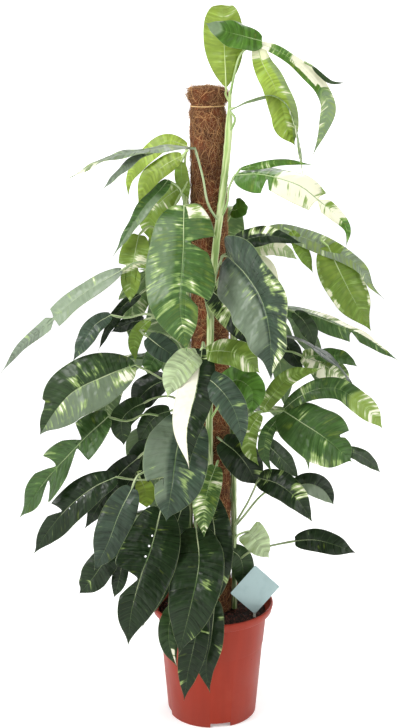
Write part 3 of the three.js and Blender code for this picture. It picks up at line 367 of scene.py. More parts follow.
# %% Leaves in front of the pole and above it
FRONT_LEAVES = [
    blade("crown_upright", "front", 1196, 72, [(226, 88, -22), (225, 58, -26), (223, 22, -18), (222, 5, 8),
          (223, 10, 45)], ("lime", 0.24, 0.4), fold=-8, peak=0.4, base=1.1),
    blade("crown_arch", "front", 1206, 36, [(254, 43, -29), (272, 48, -31), (288, 57, -33), (305, 70, -35),
          (321, 88, -39), (328, 106, -42), (323, 130, -46), (313, 155, -44)], ("bright", 0.18, 0.2), turn=20,
          peak=0.5, by=[(234, 76, -24), (241, 54, -27)], patches=[("cream", 0, 0, 0.12, 0, 1, 0.9),
          ("cream", 1, 0.27, 0.54, 0, 1, 1), ("cream", -1, 0.27, 0.5, 0, 0.55, 1),
          ("pale", 0, 0.55, 1, 0, 1, 0.9), ("cream", 0, 0.55, 1, 0, 1, 0.36)]),
    blade("crown_side_lobe", "front", (243, 50, -27), 54, [(262, 41, -30), (243, 36, -45), (224, 31, -54),
          (205, 23, -58)], ("bright", 0.04, 0.1), fold=6, peak=0.36,
          patches=[("pale", 0, 0.7, 1, 0, 1, 0.9)]),
    blade("crown_hanging_lobe", "front", (248, 46, -28), 50, [(257, 43, -31), (262, 62, -42), (273, 83, -50),
          (282, 106, -54), (287, 127, -55), (295, 146, -52)], ("lime", 0.24, 0.3), fold=10, peak=0.64,
          patches=[("cream", 0, 0, 0.16, 0, 1, 0.8), ("pale", 1, 0.1, 1, 0.55, 1, 0.9)]),
    blade("crown_spur", "front", (304, 62, -33), 9, [(312, 66, -34), (320, 74, -38), (331, 82, -43),
          (346, 83, -46)], ("mature", 0, 0), fold=4),
    blade("crown_drooping", "front", 1140, 42, [(234, 108, -34), (250, 101, -42), (272, 96, -50),
          (286, 104, -56), (297, 134, -60), (303, 177, -56)], ("bright", 0.34, 0.3), turn=64, twist=10,
          fold=8, peak=0.4, patches=[("pale", 0, 0, 0.35, 0, 1, 0.8)]),
    blade("left_arching", "front", 985, 50, [(195, 148, -72), (172, 147, -82), (148, 150, -88),
          (110, 157, -92), (64, 181, -92)], ("silver", 0.14, 0.3), turn=-50, fold=8, by=[(208, 204, -62),
          (203, 178, -68)], patches=[("cream", 0, 0.7, 1, 0, 1, 0.45)]),
    blade("left_arching_finger", "front", (166, 148, -84), 26, [(156, 150, -87), (140, 155, -92),
          (121, 170, -98), (101, 191, -96)], ("silver", 0.24, 0.1), turn=-35, fold=6),
    blade("front_big", "front", 950, 130, [(184, 206, -100), (183, 256, -160), (180, 307, -195),
          (187, 352, -200)], ("mid", 0.24, 0.2), turn=-4, fold=8, sag=0.3, by=[(200, 206, -74)],
          left=[(0.27, 0.22, 0.05), (0.6, 0.2, 0.04)], patches=[("cream", 1, 0, 0.1, 0.2, 1, 0.8),
          ("pale", -1, 0.1, 0.6, 0.3, 1, 0.5)]),
    blade("right_white", "front", 985, 70, [(235, 175, -55), (258, 174, -72), (281, 179, -88),
          (302, 187, -96), (318, 200, -102), (334, 213, -106), (347, 229, -106), (346, 248, -102)],
          ("bright", 0.12, 0.2), turn=16, twist=-50, fold=-24, peak=0.28, by=[(227, 204, -46),
          (229, 188, -50)], left=[(0.6, 0.1, 0.03)], right=[(0.23, 0.2, 0.025), (0.6, 0.1, 0.04)],
          patches=[("cream", 0, 0.28, 0.8, 0, 1, 0.72)]),
    blade("right_white_finger", "front", (236, 175, -55), 15, [(240, 169, -57), (262, 165, -63),
          (285, 162, -66), (314, 165, -66)], ("bright", 0.24, 0.2), fold=4),
    blade("front_dark_big", "front", 860, 144, [(228, 256, -95), (247, 276, -150), (263, 303, -185),
          (270, 336, -205), (271, 380, -205)], ("grey", 0.1, 0), turn=-62, twist=45, fold=30, peak=0.26,
          by=[(222, 258, -68)], patches=[("cream", 1, 0.35, 0.95, 0.55, 1, 0.36),
          ("pale", -1, 0.1, 0.75, 0.1, 1, 0.62)]),
    blade("front_dark_arch", "front", 850, 42, [(226, 254, -70), (246, 240, -110), (272, 236, -140),
          (304, 244, -150)], ("dark", 0.1, 0), fold=14, patches=[("cream", 1, 0.4, 0.6, 0.2, 1, 0.5)]),
    blade("front_mid", "front", 700, 68, [(202, 349, -105), (196, 391, -170), (187, 430, -215),
          (189, 469, -230)], ("dark", 0.08, 0), fold=12, patches=[("cream", -1, 0.1, 1, 0, 1, 1)]),
    blade("front_mid_left_lobe", "front", (203, 347, -103), 52, [(199, 352, -108), (186, 361, -140),
          (174, 377, -160), (167, 398, -165)], ("pale", 0.2, 0.1), fold=8),
    blade("front_mid_right_lobe", "front", (202, 347, -102), 52, [(204, 352, -106), (222, 351, -135),
          (240, 355, -150), (260, 373, -150)], ("young", 0.34, 0.2), fold=8, peak=0.5),
    blade("front_mid_long_lobe", "front", (199, 362, -118), 54, [(200, 374, -130), (215, 384, -165),
          (230, 402, -190), (239, 424, -200), (242, 448, -200)], ("grey", 0.1, 0), fold=8),
    blade("front_low_broad", "front", 560, 118, [(186, 416, -115), (177, 450, -190), (172, 486, -240),
          (166, 522, -255)], ("grey", 0.04, 0), fold=8, peak=0.42, right=[(0.62, 0.35, 0.025)],
          patches=[("cream", 1, 0.3, 0.6, 0.1, 0.7, 0.2), ("pale", -1, 0.1, 0.8, 0.2, 1, 0.5)]),
    blade("front_dark_behind", "front", 800, 62, [(208, 288, -56), (222, 300, -68), (238, 320, -76),
          (250, 347, -78)], ("dark", 0.28, 0)),
    blade("front_green_small", "front", 610, 60, [(221, 387, -60), (238, 380, -85), (252, 391, -105),
          (251, 415, -115)], ("bright", 0.05, 0), fold=16),
    blade("front_mottled", "front", 470, 50, [(216, 466, -75), (209, 485, -110), (204, 510, -135),
          (204, 538, -145)], ("mid", 0.38, 0.2), fold=14),
    blade("front_lower_hang", "front", 360, 96, [(196, 528, -120), (199, 563, -195), (191, 605, -240),
          (178, 656, -250)], ("dark", 0.02, 0), fold=14),
    blade("front_lower_behind", "front", 430, 66, [(207, 492, -82), (215, 535, -130), (213, 580, -165),
          (197, 624, -180)], ("dark", 0.05, 0), fold=10),
    blade("pot_hang_middle", "front", 270, 52, [(201, 604, -150), (194, 645, -185), (188, 672, -195),
          (184, 701, -195)], ("dark", 0.05, 0), fold=14),
    blade("pot_hang_right", "front", 280, 48, [(215, 600, -138), (211, 640, -160), (206, 668, -165),
          (210, 693, -165)], ("dark", 0.05, 0), fold=16),
    blade("pot_hang_left", "front", 260, 40, [(178, 602, -134), (169, 626, -165), (170, 648, -180),
          (177, 667, -185)], ("mature", 0.05, 0), fold=14, patches=[("cream", 1, 0.7, 0.98, 0.1, 0.7, 0.7)]),
]
print(len(FRONT_LEAVES), "leaves, lobes and fingers in front")

# %% Leaves right of the pole
RIGHT_LEAVES = [
    blade("right_long", "right", 860, 40, [(258, 234, -30), (280, 231, -38), (302, 237, -44), (326, 247, -50),
          (346, 257, -56), (362, 269, -60), (371, 286, -62), (384, 299, -60)], ("silver", 0.2, 0.4), turn=8,
          fold=12),
    blade("right_long_spur", "right", (284, 228, -38), 26, [(291, 231, -42), (299, 244, -50), (306, 258, -54),
          (313, 273, -54)], ("young", 0.18, 0.3), fold=6),
    blade("right_hanging_lobe", "right", (321, 240, -49), 78, [(328, 246, -53), (337, 266, -62),
          (351, 294, -66), (371, 331, -64)], ("young", 0.12, 0.35), fold=4, peak=0.32,
          patches=[("cream", 0, 0.1, 0.7, 0.8, 1, 0.5)]),
    blade("right_pale_back", "right", 850, 34, [(250, 250, 5), (272, 247, 15), (284, 250, 20),
          (298, 260, 25)], ("pale", 0.5, 0.2), fold=8),
    blade("right_small_dark", "back", 925, 36, [(232, 210, 32), (236, 210, 28), (240, 207, 24),
          (245, 202, 20)], ("bright", 0.1, 0), fold=6, by=[(229, 218, 38)]),
    blade("right_cream_back", "right", 830, 52, [(246, 258, 5), (260, 268, 10), (268, 281, 15),
          (270, 298, 20)], ("pale", 0.9, 0.1), fold=8),
    blade("right_reaching", "right", 750, 44, [(282, 308, -15), (312, 315, -10), (337, 325, -5),
          (365, 338, 0), (399, 361, 5)], ("mid", 0.16, 0.2), turn=12, fold=-20, sweep=0.6,
          right=[(0.56, 0.1, 0.05)], patches=[("cream", 1, 0.15, 0.9, 0.2, 1, 0.62)]),
    blade("right_reaching_spur", "right", (289, 310, -14), 34, [(294, 312, -17), (303, 320, -22),
          (310, 331, -24), (315, 347, -24)], ("mature", 0.06, 0), fold=6),
    blade("right_edge_on", "right", 715, 60, [(286, 336, -12), (305, 343, -20), (337, 366, -30),
          (355, 389, -34)], ("grey", 0.06, 0), turn=62, fold=14),
    blade("right_dark_inner", "right", 700, 40, [(281, 337, 20), (288, 347, 25), (303, 369, 30)],
          ("dark", 0, 0)),
    blade("right_mottled", "right", 680, 56, [(302, 356, 25), (320, 363, 30), (337, 374, 35), (352, 389, 40)],
          ("mid", 0.5, 0.2), fold=8),
    blade("right_mottled_lobe", "right", (305, 358, 26), 30, [(314, 356, 25), (330, 355, 28), (345, 358, 32),
          (358, 367, 36)], ("mid", 0.14, 0.1), fold=6),
    blade("hub_broad", "right", 600, 104, [(284, 411, -70), (302, 423, -110), (325, 438, -135),
          (352, 462, -145)], ("mid", 0.14, 0.1), fold=6, peak=0.47, by=[(252, 414, -46), (270, 411, -56)],
          left=[(0.66, 0.5, 0.03)], patches=[("cream", -1, 0.5, 0.9, 0.6, 1, 0.36)]),
    blade("hub_arching", "right", (274, 411, -58), 44, [(284, 409, -64), (299, 397, -76), (318, 389, -88),
          (338, 389, -94), (356, 400, -98), (371, 413, -98), (383, 429, -94)], ("mid", 0.14, 0.1), fold=10,
          peak=0.66, patches=[("lime", 0, 0.6, 1, 0, 1, 0.7), ("cream", 0, 0.6, 1, 0, 1, 0.36)]),
    blade("hub_upper_finger", "right", (250, 414, -45), 34, [(262, 411, -56), (272, 396, -66),
          (290, 377, -72), (323, 368, -72)], ("young", 0.34, 0.2), fold=12),
    blade("hub_lower_finger", "right", (274, 411, -58), 26, [(281, 415, -66), (268, 432, -82),
          (264, 452, -90), (272, 473, -90)], ("mid", 0.2, 0.1), fold=8),
    blade("hub_left_finger", "right", (252, 413, -47), 34, [(260, 414, -55), (250, 430, -66), (249, 448, -74),
          (259, 466, -78)], ("young", 0.36, 0.2), fold=10),
    blade("right_far_small", "right", 560, 28, [(344, 451, -20), (355, 453, -15), (368, 460, -10),
          (381, 473, -5)], ("mature", 0.08, 0), fold=8),
    blade("right_low_dark", "right", 520, 70, [(222, 441, -44), (236, 452, -54), (248, 467, -60),
          (257, 485, -60)], ("dark", 0.05, 0), fold=10),
    blade("right_low_streaked", "right", 370, 56, [(259, 478, -80), (278, 484, -110), (297, 499, -130),
          (313, 523, -135)], ("dark", 0.16, 0), fold=16, peak=0.3, by=[(236, 523, -50), (248, 502, -62)]),
    blade("right_low_inner", "right", 500, 40, [(262, 440, -10), (275, 452, -5), (287, 464, 0),
          (299, 479, 5)], ("mature", 0.06, 0), fold=8),
    blade("right_low_outer", "right", 385, 48, [(292, 488, -10), (308, 484, -5), (323, 490, 0),
          (334, 505, 5)], ("dark", 0.05, 0), fold=16, by=[(243, 517, -40), (266, 492, -25)],
          patches=[("pale", -1, 0, 1, 0, 1, 0.8)]),
    blade("right_low_pale", "right", 330, 56, [(249, 531, -54), (255, 538, -58), (261, 547, -60),
          (269, 558, -60)], ("pale", 0.12, 0.2), fold=14, peak=0.12, by=[(238, 535, -48)]),
    blade("right_low_lance", "right", 310, 46, [(295, 541, -60), (315, 540, -66), (335, 545, -70),
          (356, 553, -70)], ("dark", 0.02, 0), fold=10, by=[(252, 551, -46), (274, 545, -54)]),
    blade("right_behind_tag", "right", 320, 46, [(229, 549, -26), (239, 556, -28), (243, 569, -28),
          (240, 588, -28)], ("mature", 0.04, 0), fold=12),
]
print(len(RIGHT_LEAVES), "on the right")

# %% Leaves left of the pole
LEFT_LEAVES = [
    blade("left_top_finger", "left", 1040, 34, [(187, 146, -18), (168, 141, -10), (146, 156, 0),
          (130, 178, 10), (128, 197, 15)], ("lime", 0.06, 0.4), fold=8, by=[(185, 162, -14)]),
    blade("left_second_finger", "left", (188, 150, -19), 40, [(182, 156, -18), (165, 165, -12),
          (148, 180, -5), (138, 205, 0)], ("lime", 0.1, 0.4), fold=8),
    blade("left_third_finger", "left", (186, 152, -19), 26, [(181, 162, -20), (182, 178, -24),
          (189, 199, -26)], ("young", 0.06, 0.4), fold=6),
    blade("left_folded", "left", 950, 38, [(168, 180, -58), (160, 190, -68), (146, 205, -76), (130, 229, -80),
          (112, 258, -78)], ("mid", 0.14, 0.1), turn=-30, fold=12, peak=0.24, by=[(184, 202, -48),
          (179, 188, -54)], patches=[("pale", 1, 0.2, 1, 0, 1, 0.6)]),
    blade("left_bright", "left", 940, 54, [(179, 188, -20), (163, 200, -15), (150, 218, -10), (150, 241, -5)],
          ("young", 0.34, 0.5), fold=8),
    blade("left_lobed_light", "left", 900, 58, [(139, 235, -62), (134, 258, -70), (131, 276, -74),
          (130, 303, -74)], ("young", 0.36, 0.4), fold=10, by=[(150, 226, -46)], left=[(0.45, 0.4, 0.05)],
          right=[(0.45, 0.4, 0.05)]),
    blade("left_longest", "left", 830, 48, [(122, 270, -85), (98, 284, -82), (73, 301, -70), (47, 325, -55),
          (21, 347, -38), (1, 373, -20)], ("silver", 0.14, 0), turn=-16, fold=12, by=[(153, 267, -66),
          (138, 262, -78)], left=[(0.5, 0.15, 0.03)], right=[(0.5, 0.15, 0.03)],
          patches=[("pale", 0, 0.05, 0.6, 0, 1, 1)]),
    blade("left_grey", "left", 760, 35, [(111, 315, -88), (95, 325, -96), (83, 343, -100), (73, 361, -98)],
          ("grey", 0.1, 0), fold=12, by=[(148, 314, -76), (126, 318, -84)]),
    blade("left_dark_twisted", "left", 780, 30, [(140, 294, -50), (125, 304, -40), (112, 321, -30),
          (98, 351, -20)], ("dark", 0, 0), turn=60, fold=20),
    blade("left_dark_small", "left", 740, 28, [(144, 320, -40), (130, 323, -30), (111, 332, -25)],
          ("dark", 0, 0), fold=10),
    blade("left_light_small", "left", 745, 26, [(150, 320, -44), (138, 332, -50), (134, 345, -52),
          (136, 362, -52)], ("young", 0.12, 0.3), fold=8),
    blade("left_inner_grey", "left", 720, 48, [(148, 337, -60), (158, 345, -66), (168, 352, -68),
          (179, 360, -68)], ("grey", 0.06, 0), fold=10),
    blade("left_inner_green", "left", 705, 42, [(160, 350, -10), (153, 361, 0), (147, 374, 5)],
          ("mid", 0.12, 0), fold=8),
    blade("left_cream_edge", "left", 660, 104, [(135, 365, -95), (103, 377, -108), (73, 392, -112),
          (56, 410, -110), (39, 436, -100)], ("mature", 0.14, 0), turn=6, fold=10, base=0.75,
          by=[(164, 380, -76), (148, 371, -88)], right=[(0.68, 0.75, 0.02)],
          patches=[("cream", 1, 0.08, 0.95, 0, 0.85, 0.36), ("pale", 1, 0.05, 1, 0, 1, 0.6)]),
    blade("left_dark_round", "left", 640, 58, [(166, 380, -30), (154, 385, -25), (143, 394, -20),
          (134, 406, -15)], ("dark", 0.05, 0), fold=8, peak=0.45),
    blade("left_dark_star", "left", 610, 48, [(144, 403, -60), (132, 409, -60), (122, 420, -55),
          (124, 446, -50)], ("mature", 0.05, 0), fold=10),
    blade("left_dark_wing", "left", 600, 42, [(170, 411, -50), (158, 415, -50), (148, 425, -50),
          (138, 442, -48)], ("mature", 0.05, 0), fold=10),
    blade("left_deeply_cut", "left", 590, 108, [(108, 417, -90), (86, 437, -90), (67, 457, -88),
          (43, 484, -80), (19, 519, -65)], ("mid", 0.14, 0.1), turn=-26, fold=12, sweep=0.55,
          by=[(146, 414, -64), (128, 421, -78)], left=[(0.3, 0.1, 0.08), (0.6, 0.15, 0.07)],
          right=[(0.24, 0.08, 0.06), (0.5, 0.1, 0.08)]),
    blade("left_ribbed", "left", 500, 66, [(116, 477, -95), (94, 487, -100), (73, 503, -105), (52, 526, -105),
          (33, 555, -95)], ("dark", 0.05, 0), fold=10, sweep=0.4, by=[(140, 480, -76)],
          left=[(0.3, 0.05, 0.01, 0.15), (0.38, 0.05, 0.01, 0.15), (0.46, 0.05, 0.01, 0.15)],
          right=[(0.52, 0.15, 0.06)]),
    blade("left_shaded", "left", 540, 52, [(138, 458, -60), (120, 474, -55), (103, 499, -45), (84, 530, -35)],
          ("dark", 0.03, 0), fold=12),
    blade("left_shaded_inner", "left", 545, 60, [(152, 440, -30), (140, 462, -20), (132, 488, -10),
          (127, 513, 0)], ("dark", 0.03, 0), fold=10),
    blade("left_lit_patch", "left", 470, 38, [(141, 480, -20), (145, 490, -20), (147, 508, -18)],
          ("lime", 0.06, 0.4), fold=8),
    blade("left_shaded_long", "left", 460, 68, [(132, 488, -110), (119, 514, -120), (108, 543, -125),
          (94, 571, -120)], ("grey", 0.05, 0), fold=14),
    blade("left_lowest", "left", 380, 58, [(116, 551, -90), (103, 564, -95), (92, 579, -95), (79, 594, -90)],
          ("dark", 0.03, 0), fold=16),
    blade("low_front_cut", "left", 430, 108, [(161, 509, -125), (151, 549, -190), (141, 576, -225),
          (131, 614, -250), (128, 646, -255)], ("dark", 0.03, 0), fold=10, right=[(0.22, 0.05, 0.009, 0.13),
          (0.3, 0.05, 0.009, 0.13), (0.38, 0.05, 0.009, 0.13), (0.54, 0.1, 0.09)]),
    blade("low_dark_behind", "left", 430, 58, [(184, 502, -40), (173, 536, -50), (157, 590, -52),
          (142, 628, -45)], ("dark", 0, 0), fold=12),
    blade("left_lowest_tip", "left", (119, 551, -90), 30, [(122, 558, -93), (121, 570, -97), (118, 584, -99),
          (114, 598, -97)], ("dark", 0, 0), fold=8),
]
print(len(LEFT_LEAVES), "on the left")

# %% Leaves of the far side
FAR_LEAVES = [
    blade("far_top", "back", 1090, 60, [(93, 70, 1130), (92, 120, 1150), (91, 170, 1110), (91, 190, 1040)]),
    blade("far_top_right", "back", 875, 88, [(76, 80, 905), (75, 140, 900), (74, 190, 835), (74, 205, 745)],
          left=[(0.45, 0.3, 0.05)]),
    blade("far_upper_left", "back", 1000, 100, [(110, 90, 1000), (112, 150, 985), (113, 200, 900),
          (113, 215, 790)], right=[(0.4, 0.3, 0.05)]),
    blade("far_upper", "back", 950, 112, [(88, 95, 985), (86, 175, 980), (85, 240, 890), (84, 260, 770)],
          left=[(0.5, 0.3, 0.05)]),
    blade("far_right_high", "back", 770, 96, [(38, 100, 800), (34, 180, 795), (31, 235, 720), (30, 250, 620)],
          right=[(0.45, 0.35, 0.05)]),
    blade("far_left_high", "back", 840, 96, [(127, 108, 870), (128, 185, 865), (129, 240, 800),
          (129, 256, 700)], left=[(0.3, 0.3, 0.05), (0.6, 0.3, 0.05)]),
    blade("far_middle", "back", 800, 122, [(104, 105, 820), (106, 200, 810), (107, 275, 720),
          (107, 300, 590)]),
    blade("far_right_mid", "back", 740, 110, [(62, 110, 760), (60, 205, 755), (59, 275, 670), (58, 300, 550)],
          left=[(0.35, 0.3, 0.05), (0.65, 0.35, 0.04)]),
    blade("far_left_mid", "back", 690, 112, [(130, 115, 700), (133, 215, 690), (135, 290, 610),
          (136, 320, 490)], left=[(0.45, 0.3, 0.05)]),
    blade("far_centre_mid", "back", 630, 118, [(84, 115, 650), (82, 215, 640), (81, 290, 545),
          (80, 310, 420)], left=[(0.5, 0.35, 0.05)]),
    blade("far_right_low", "back", 580, 92, [(46, 100, 600), (43, 185, 590), (41, 245, 520), (40, 265, 440)]),
    blade("far_left_low", "back", 540, 104, [(122, 105, 560), (123, 190, 550), (124, 248, 480),
          (124, 266, 385)], right=[(0.4, 0.35, 0.05)]),
    blade("far_centre_low", "back", 480, 112, [(108, 110, 500), (111, 205, 490), (113, 280, 400),
          (114, 295, 285)], left=[(0.55, 0.3, 0.05)]),
    blade("far_low_right", "back", 420, 96, [(86, 100, 440), (88, 180, 425), (89, 235, 340), (89, 245, 240)]),
    blade("far_low_left", "back", 360, 100, [(134, 105, 385), (138, 190, 370), (140, 250, 290),
          (141, 262, 190)], right=[(0.5, 0.4, 0.05)]),
    blade("far_lowest", "back", 300, 84, [(98, 100, 330), (98, 165, 315), (98, 205, 250), (98, 215, 160)]),
]
LEAVES_AS_SEEN = [*FRONT_LEAVES, *RIGHT_LEAVES, *LEFT_LEAVES]
print(len(FAR_LEAVES), "leaves on the far side,", len(LEAVES_AS_SEEN) + len(FAR_LEAVES), "in all")

# %% Looks of the far side
# These leaves go from young at the top, with more lime, to dark near the pot. The lime is partly a
# painted glow of light through them, and the dark partly painted shade under the foliage
FAR_GREENS = ["dark", "mature", "mature", "mid", "mid", "bright", "young"]
FAR_CREAM = [0.08, 0.3, 0.14, 0.4, 0.2]
FAR_LIME = 0.2


def far_look(index, start):
    """The green, cream and lime of a leaf on the far side, by its height."""
    height = start / STEMS["back"]["turns"][-1][0]
    green = FAR_GREENS[min(int(height * len(FAR_GREENS)), len(FAR_GREENS) - 1)]
    return green, FAR_CREAM[index % len(FAR_CREAM)], FAR_LIME * height


print("the lowest leaf there is", far_look(0, FAR_LEAVES[-1]["start"])[0])

# %% [markdown]
# ## Rib curves
# A midrib is a smooth curve through a few points. A centripetal Catmull-Rom spline passes through them
# with no loops, and its length is measured so that a share along the rib is a share of real length.

# %% Smooth curve through points
CURVE_SAMPLES = 200


def catmull_rom(points):
    """Many points on the centripetal Catmull-Rom curve through the given ones."""
    points = [np.asarray(p, float) for p in points]
    padded = [2 * points[0] - points[1], *points, 2 * points[-1] - points[-2]]
    spans = len(points) - 1
    s = np.linspace(0, 1, CURVE_SAMPLES // spans + 1)[:, None]
    curve = []
    for k in range(spans):
        p0, p1, p2, p3 = padded[k:k + 4]
        d0, d1, d2 = (max(np.linalg.norm(b - a) ** 0.5, 1e-4) for a, b in ((p0, p1), (p1, p2), (p2, p3)))
        start = ((p1 - p0) / d0 - (p2 - p0) / (d0 + d1) + (p2 - p1) / d1) * d1
        end = ((p2 - p1) / d1 - (p3 - p1) / (d1 + d2) + (p3 - p2) / d2) * d1
        square = (3 * (p2 - p1) - 2 * start - end) * s ** 2
        bend = p1 + start * s + square + (2 * (p1 - p2) + start + end) * s ** 3
        curve.append(bend if k == spans - 1 else bend[:-1])
    return np.concatenate(curve)


class Path:
    """A curve that is read by the share of its length."""

    def __init__(self, points):
        self.dense = catmull_rom(points)
        steps = np.linalg.norm(np.diff(self.dense, axis=0), axis=1)
        self.length = float(steps.sum())
        self.shares = np.concatenate([[0], np.cumsum(steps)]) / self.length
        slopes = np.gradient(self.dense, axis=0)
        self.slopes = slopes / np.linalg.norm(slopes, axis=1)[:, None]

    def read(self, values, share):
        return np.stack([np.interp(share, self.shares, values[:, axis]) for axis in range(3)], -1)

    def at(self, share):
        return self.read(self.dense, share)

    def along(self, share):
        slope = self.read(self.slopes, share)
        return slope / np.linalg.norm(slope, axis=-1, keepdims=True)


longest = max(LEAVES_AS_SEEN, key=lambda leaf: Path([seen(*point) for point in leaf["rib"]]).length)
print("the longest midrib in front is that of", longest["name"])

# %% [markdown]
# ## Leaf blades
# A blade is two halves that meet at the midrib. The lines across it follow the side veins, which sweep
# back at the base and forward at the tip, so that a count along the blade is a count of veins. The
# surface is quilted: it sinks at each side vein and rises between them. Cuts open between lobes, and
# holes beside the midrib open and close again. All of it is worked out for a whole grid of points at
# once. A plane bent by modifiers could make one leaf, but not ninety-four with their own cuts, so blades
# are worked out by rule.

# %% Outline of a blade
BLADE = {"thickness": 0.55, "peak": 0.38, "fold": 10, "sag": 0.2, "base": 0.5, "taper": 1.6, "cut_curve": 0.8,
         "rear_rounding": 0.34, "front_rounding": 0.1}
# Rows of points from the midrib to the edge, as shares of the half width
ROWS = [0, 0.07, 0.18, 0.31, 0.45, 0.6, 0.74, 0.86, 0.94, 1.0]


def half_width(t, leaf):
    """The blade's half width at a share of its length, with 1 at its widest."""
    peak = leaf.get("peak", BLADE["peak"])
    before = np.clip(1 - (1 - t / peak) ** 2, 0, 1) ** leaf.get("base", BLADE["base"])
    beyond = np.clip(1 - ((t - peak) / (1 - peak)) ** 2, 0, 1) ** BLADE["taper"]
    return np.where(t < peak, before, beyond)


def is_cut(cut):
    """True for a cut that is open to the edge, and not for a hole or no cut."""
    return cut is not None and len(cut) < 4


def openness(cut, row):
    """How far a cut or hole stands open at a row, as a share of the rib's length."""
    if cut is None:
        return np.zeros_like(row)
    start, gap = cut[1], cut[2]
    if is_cut(cut):
        return gap * np.clip((row - start) / (1 - start), 0, 1) ** BLADE["cut_curve"]
    share = np.clip((row - start) / (cut[3] - start), 0, 1)
    return gap * np.sin(np.pi * share) ** BLADE["cut_curve"]


print(len(ROWS), "rows across a half blade")

# %% Surface of a blade
# Side veins are 12 mm apart. They sink by a share of that, and slant back at the base and forward at the tip
VEINS = {"spacing": 12, "least": 4, "steps": 4, "depth": 0.014, "ridge": 0.7, "slant": -0.5, "sweep": 1.5,
         "sweep_curve": 0.7, "curve": 1.4}
# The edge waves by a share of the half width, more towards the edge, and the two halves out of step
WAVES = {"height": 0.09, "edge": 3, "out_of_step": 0.2, "ends": 0.5, "fewest": 2.2, "spread": 2}


def vein_total(rib):
    return max(VEINS["least"], round(rib.length / VEINS["spacing"]))


def blade_frame(leaf, rib, t):
    """The middle, the direction along, the face and the direction across at shares of the rib."""
    along = rib.along(t)
    facing = leaf["facing"] - (along @ leaf["facing"])[..., None] * along
    face = facing / np.linalg.norm(facing, axis=-1, keepdims=True)
    roll = -np.radians(leaf.get("turn", 0) + leaf.get("twist", 0) * t)[..., None]
    face = face * np.cos(roll) + np.cross(along, face) * np.sin(roll)
    return rib.at(t), along, face, np.cross(face, along)


def blade_points(leaf, rib, t, side, reach):
    """Points of a half blade, in millimetres, and how far each lies from the midrib."""
    middle, along, face, across = blade_frame(leaf, rib, t)
    fold = math.radians(leaf.get("fold", BLADE["fold"]))
    width = half_width(t, leaf) * leaf["wide"] / 2 * reach
    between = np.sin(np.pi * np.clip(reach, 0, 1) ** VEINS["ridge"])
    quilt = -VEINS["depth"] * VEINS["spacing"] * np.cos(2 * np.pi * t * vein_total(rib)) * between
    swing = np.sin(2 * np.pi * (leaf["waves"] * t + leaf["phase"] + side * WAVES["out_of_step"]))
    wave = WAVES["height"] * leaf["wide"] / 2 * reach ** WAVES["edge"] * swing
    calm_ends = np.sin(np.pi * t) ** WAVES["ends"]
    sag = leaf.get("sag", BLADE["sag"])
    rise = width * math.sin(fold) - sag * width * reach + (quilt + wave) * calm_ends
    own_sweep = leaf.get("sweep", 0) * np.sin(np.pi * t)
    slant = VEINS["slant"] + VEINS["sweep"] * t ** VEINS["sweep_curve"] + own_sweep
    slant = slant * np.maximum(reach, 0.01) ** (VEINS["curve"] - 1)
    points = (middle + (side * width * math.cos(fold))[..., None] * across
              + rise[..., None] * face + (width * slant)[..., None] * along)
    return points, width


print("a midrib of 200 mm has", round(200 / VEINS["spacing"]), "side veins on each half")

# %% [markdown]
# The fields of a leaf's look are kept on its vertices: how cream, lime or pale it is there, its own
# green, the distance out from the midrib and the count of side veins. The material turns the fields into
# feathered streaks, so that colour follows the veins and not a picture.

# %% Blade meshes
FIELDS = ("cream", "lime", "pale", "row", "vein_count", "glow")


class BladeSheets:
    """Collects the sheets of many leaves in one mesh, with a green, the fields and a chart."""

    def __init__(self):
        self.points, self.faces, self.columns = [], [], []
        self.count = 0

    def add_grid(self, points, columns, side):
        """A grid of points, with one column of values for each field."""
        stations, rows = points.shape[:2]
        index = self.count + np.arange(stations * rows).reshape(stations, rows)
        corners = [index[:-1, :-1], index[1:, :-1], index[1:, 1:], index[:-1, 1:]]
        quads = np.stack(corners if side > 0 else corners[::-1], -1)
        self.points.append(points.reshape(-1, 3))
        self.faces.append(quads.reshape(-1, 4))
        self.columns.append(columns.reshape(-1, columns.shape[-1]))
        self.count += stations * rows

    def mesh(self, name):
        mesh = bpy.data.meshes.new(name)
        points = np.concatenate(self.points) * MM
        mesh.from_pydata(points.tolist(), [], np.concatenate(self.faces).tolist())
        columns = np.concatenate(self.columns)
        green = mesh.attributes.new("blade_green", "FLOAT_COLOR", "POINT")
        green.data.foreach_set("color", np.c_[columns[:, :3], np.ones(len(columns))].ravel())
        for place, field in enumerate(FIELDS, 3):
            attribute = mesh.attributes.new(field, "FLOAT", "POINT")
            attribute.data.foreach_set("value", columns[:, place].copy())
        chart = mesh.uv_layers.new(name="BladeMap")
        loops = np.empty(len(mesh.loops), int)
        mesh.loops.foreach_get("vertex_index", loops)
        chart.uv.foreach_set("vector", columns[loops][:, -2:].astype(np.float32).ravel())
        return mesh


print("fields on a blade:", FIELDS)

# %% Lobes and their looks
PATCH_EDGE = 0.05
# The count of side veins starts this much further on in each leaf, so no two leaves share a vein's number
COUNT_APART = 40


def window(value, low, high):
    """1 between low and high, with a soft edge at both, but none at the blade's own ends."""
    rise = np.clip((value - low) / PATCH_EDGE + 0.5, 0, 1) if low > 0 else np.ones_like(value)
    fall = np.clip((high - value) / PATCH_EDGE + 0.5, 0, 1) if high < 1 else np.ones_like(value)
    return rise * fall


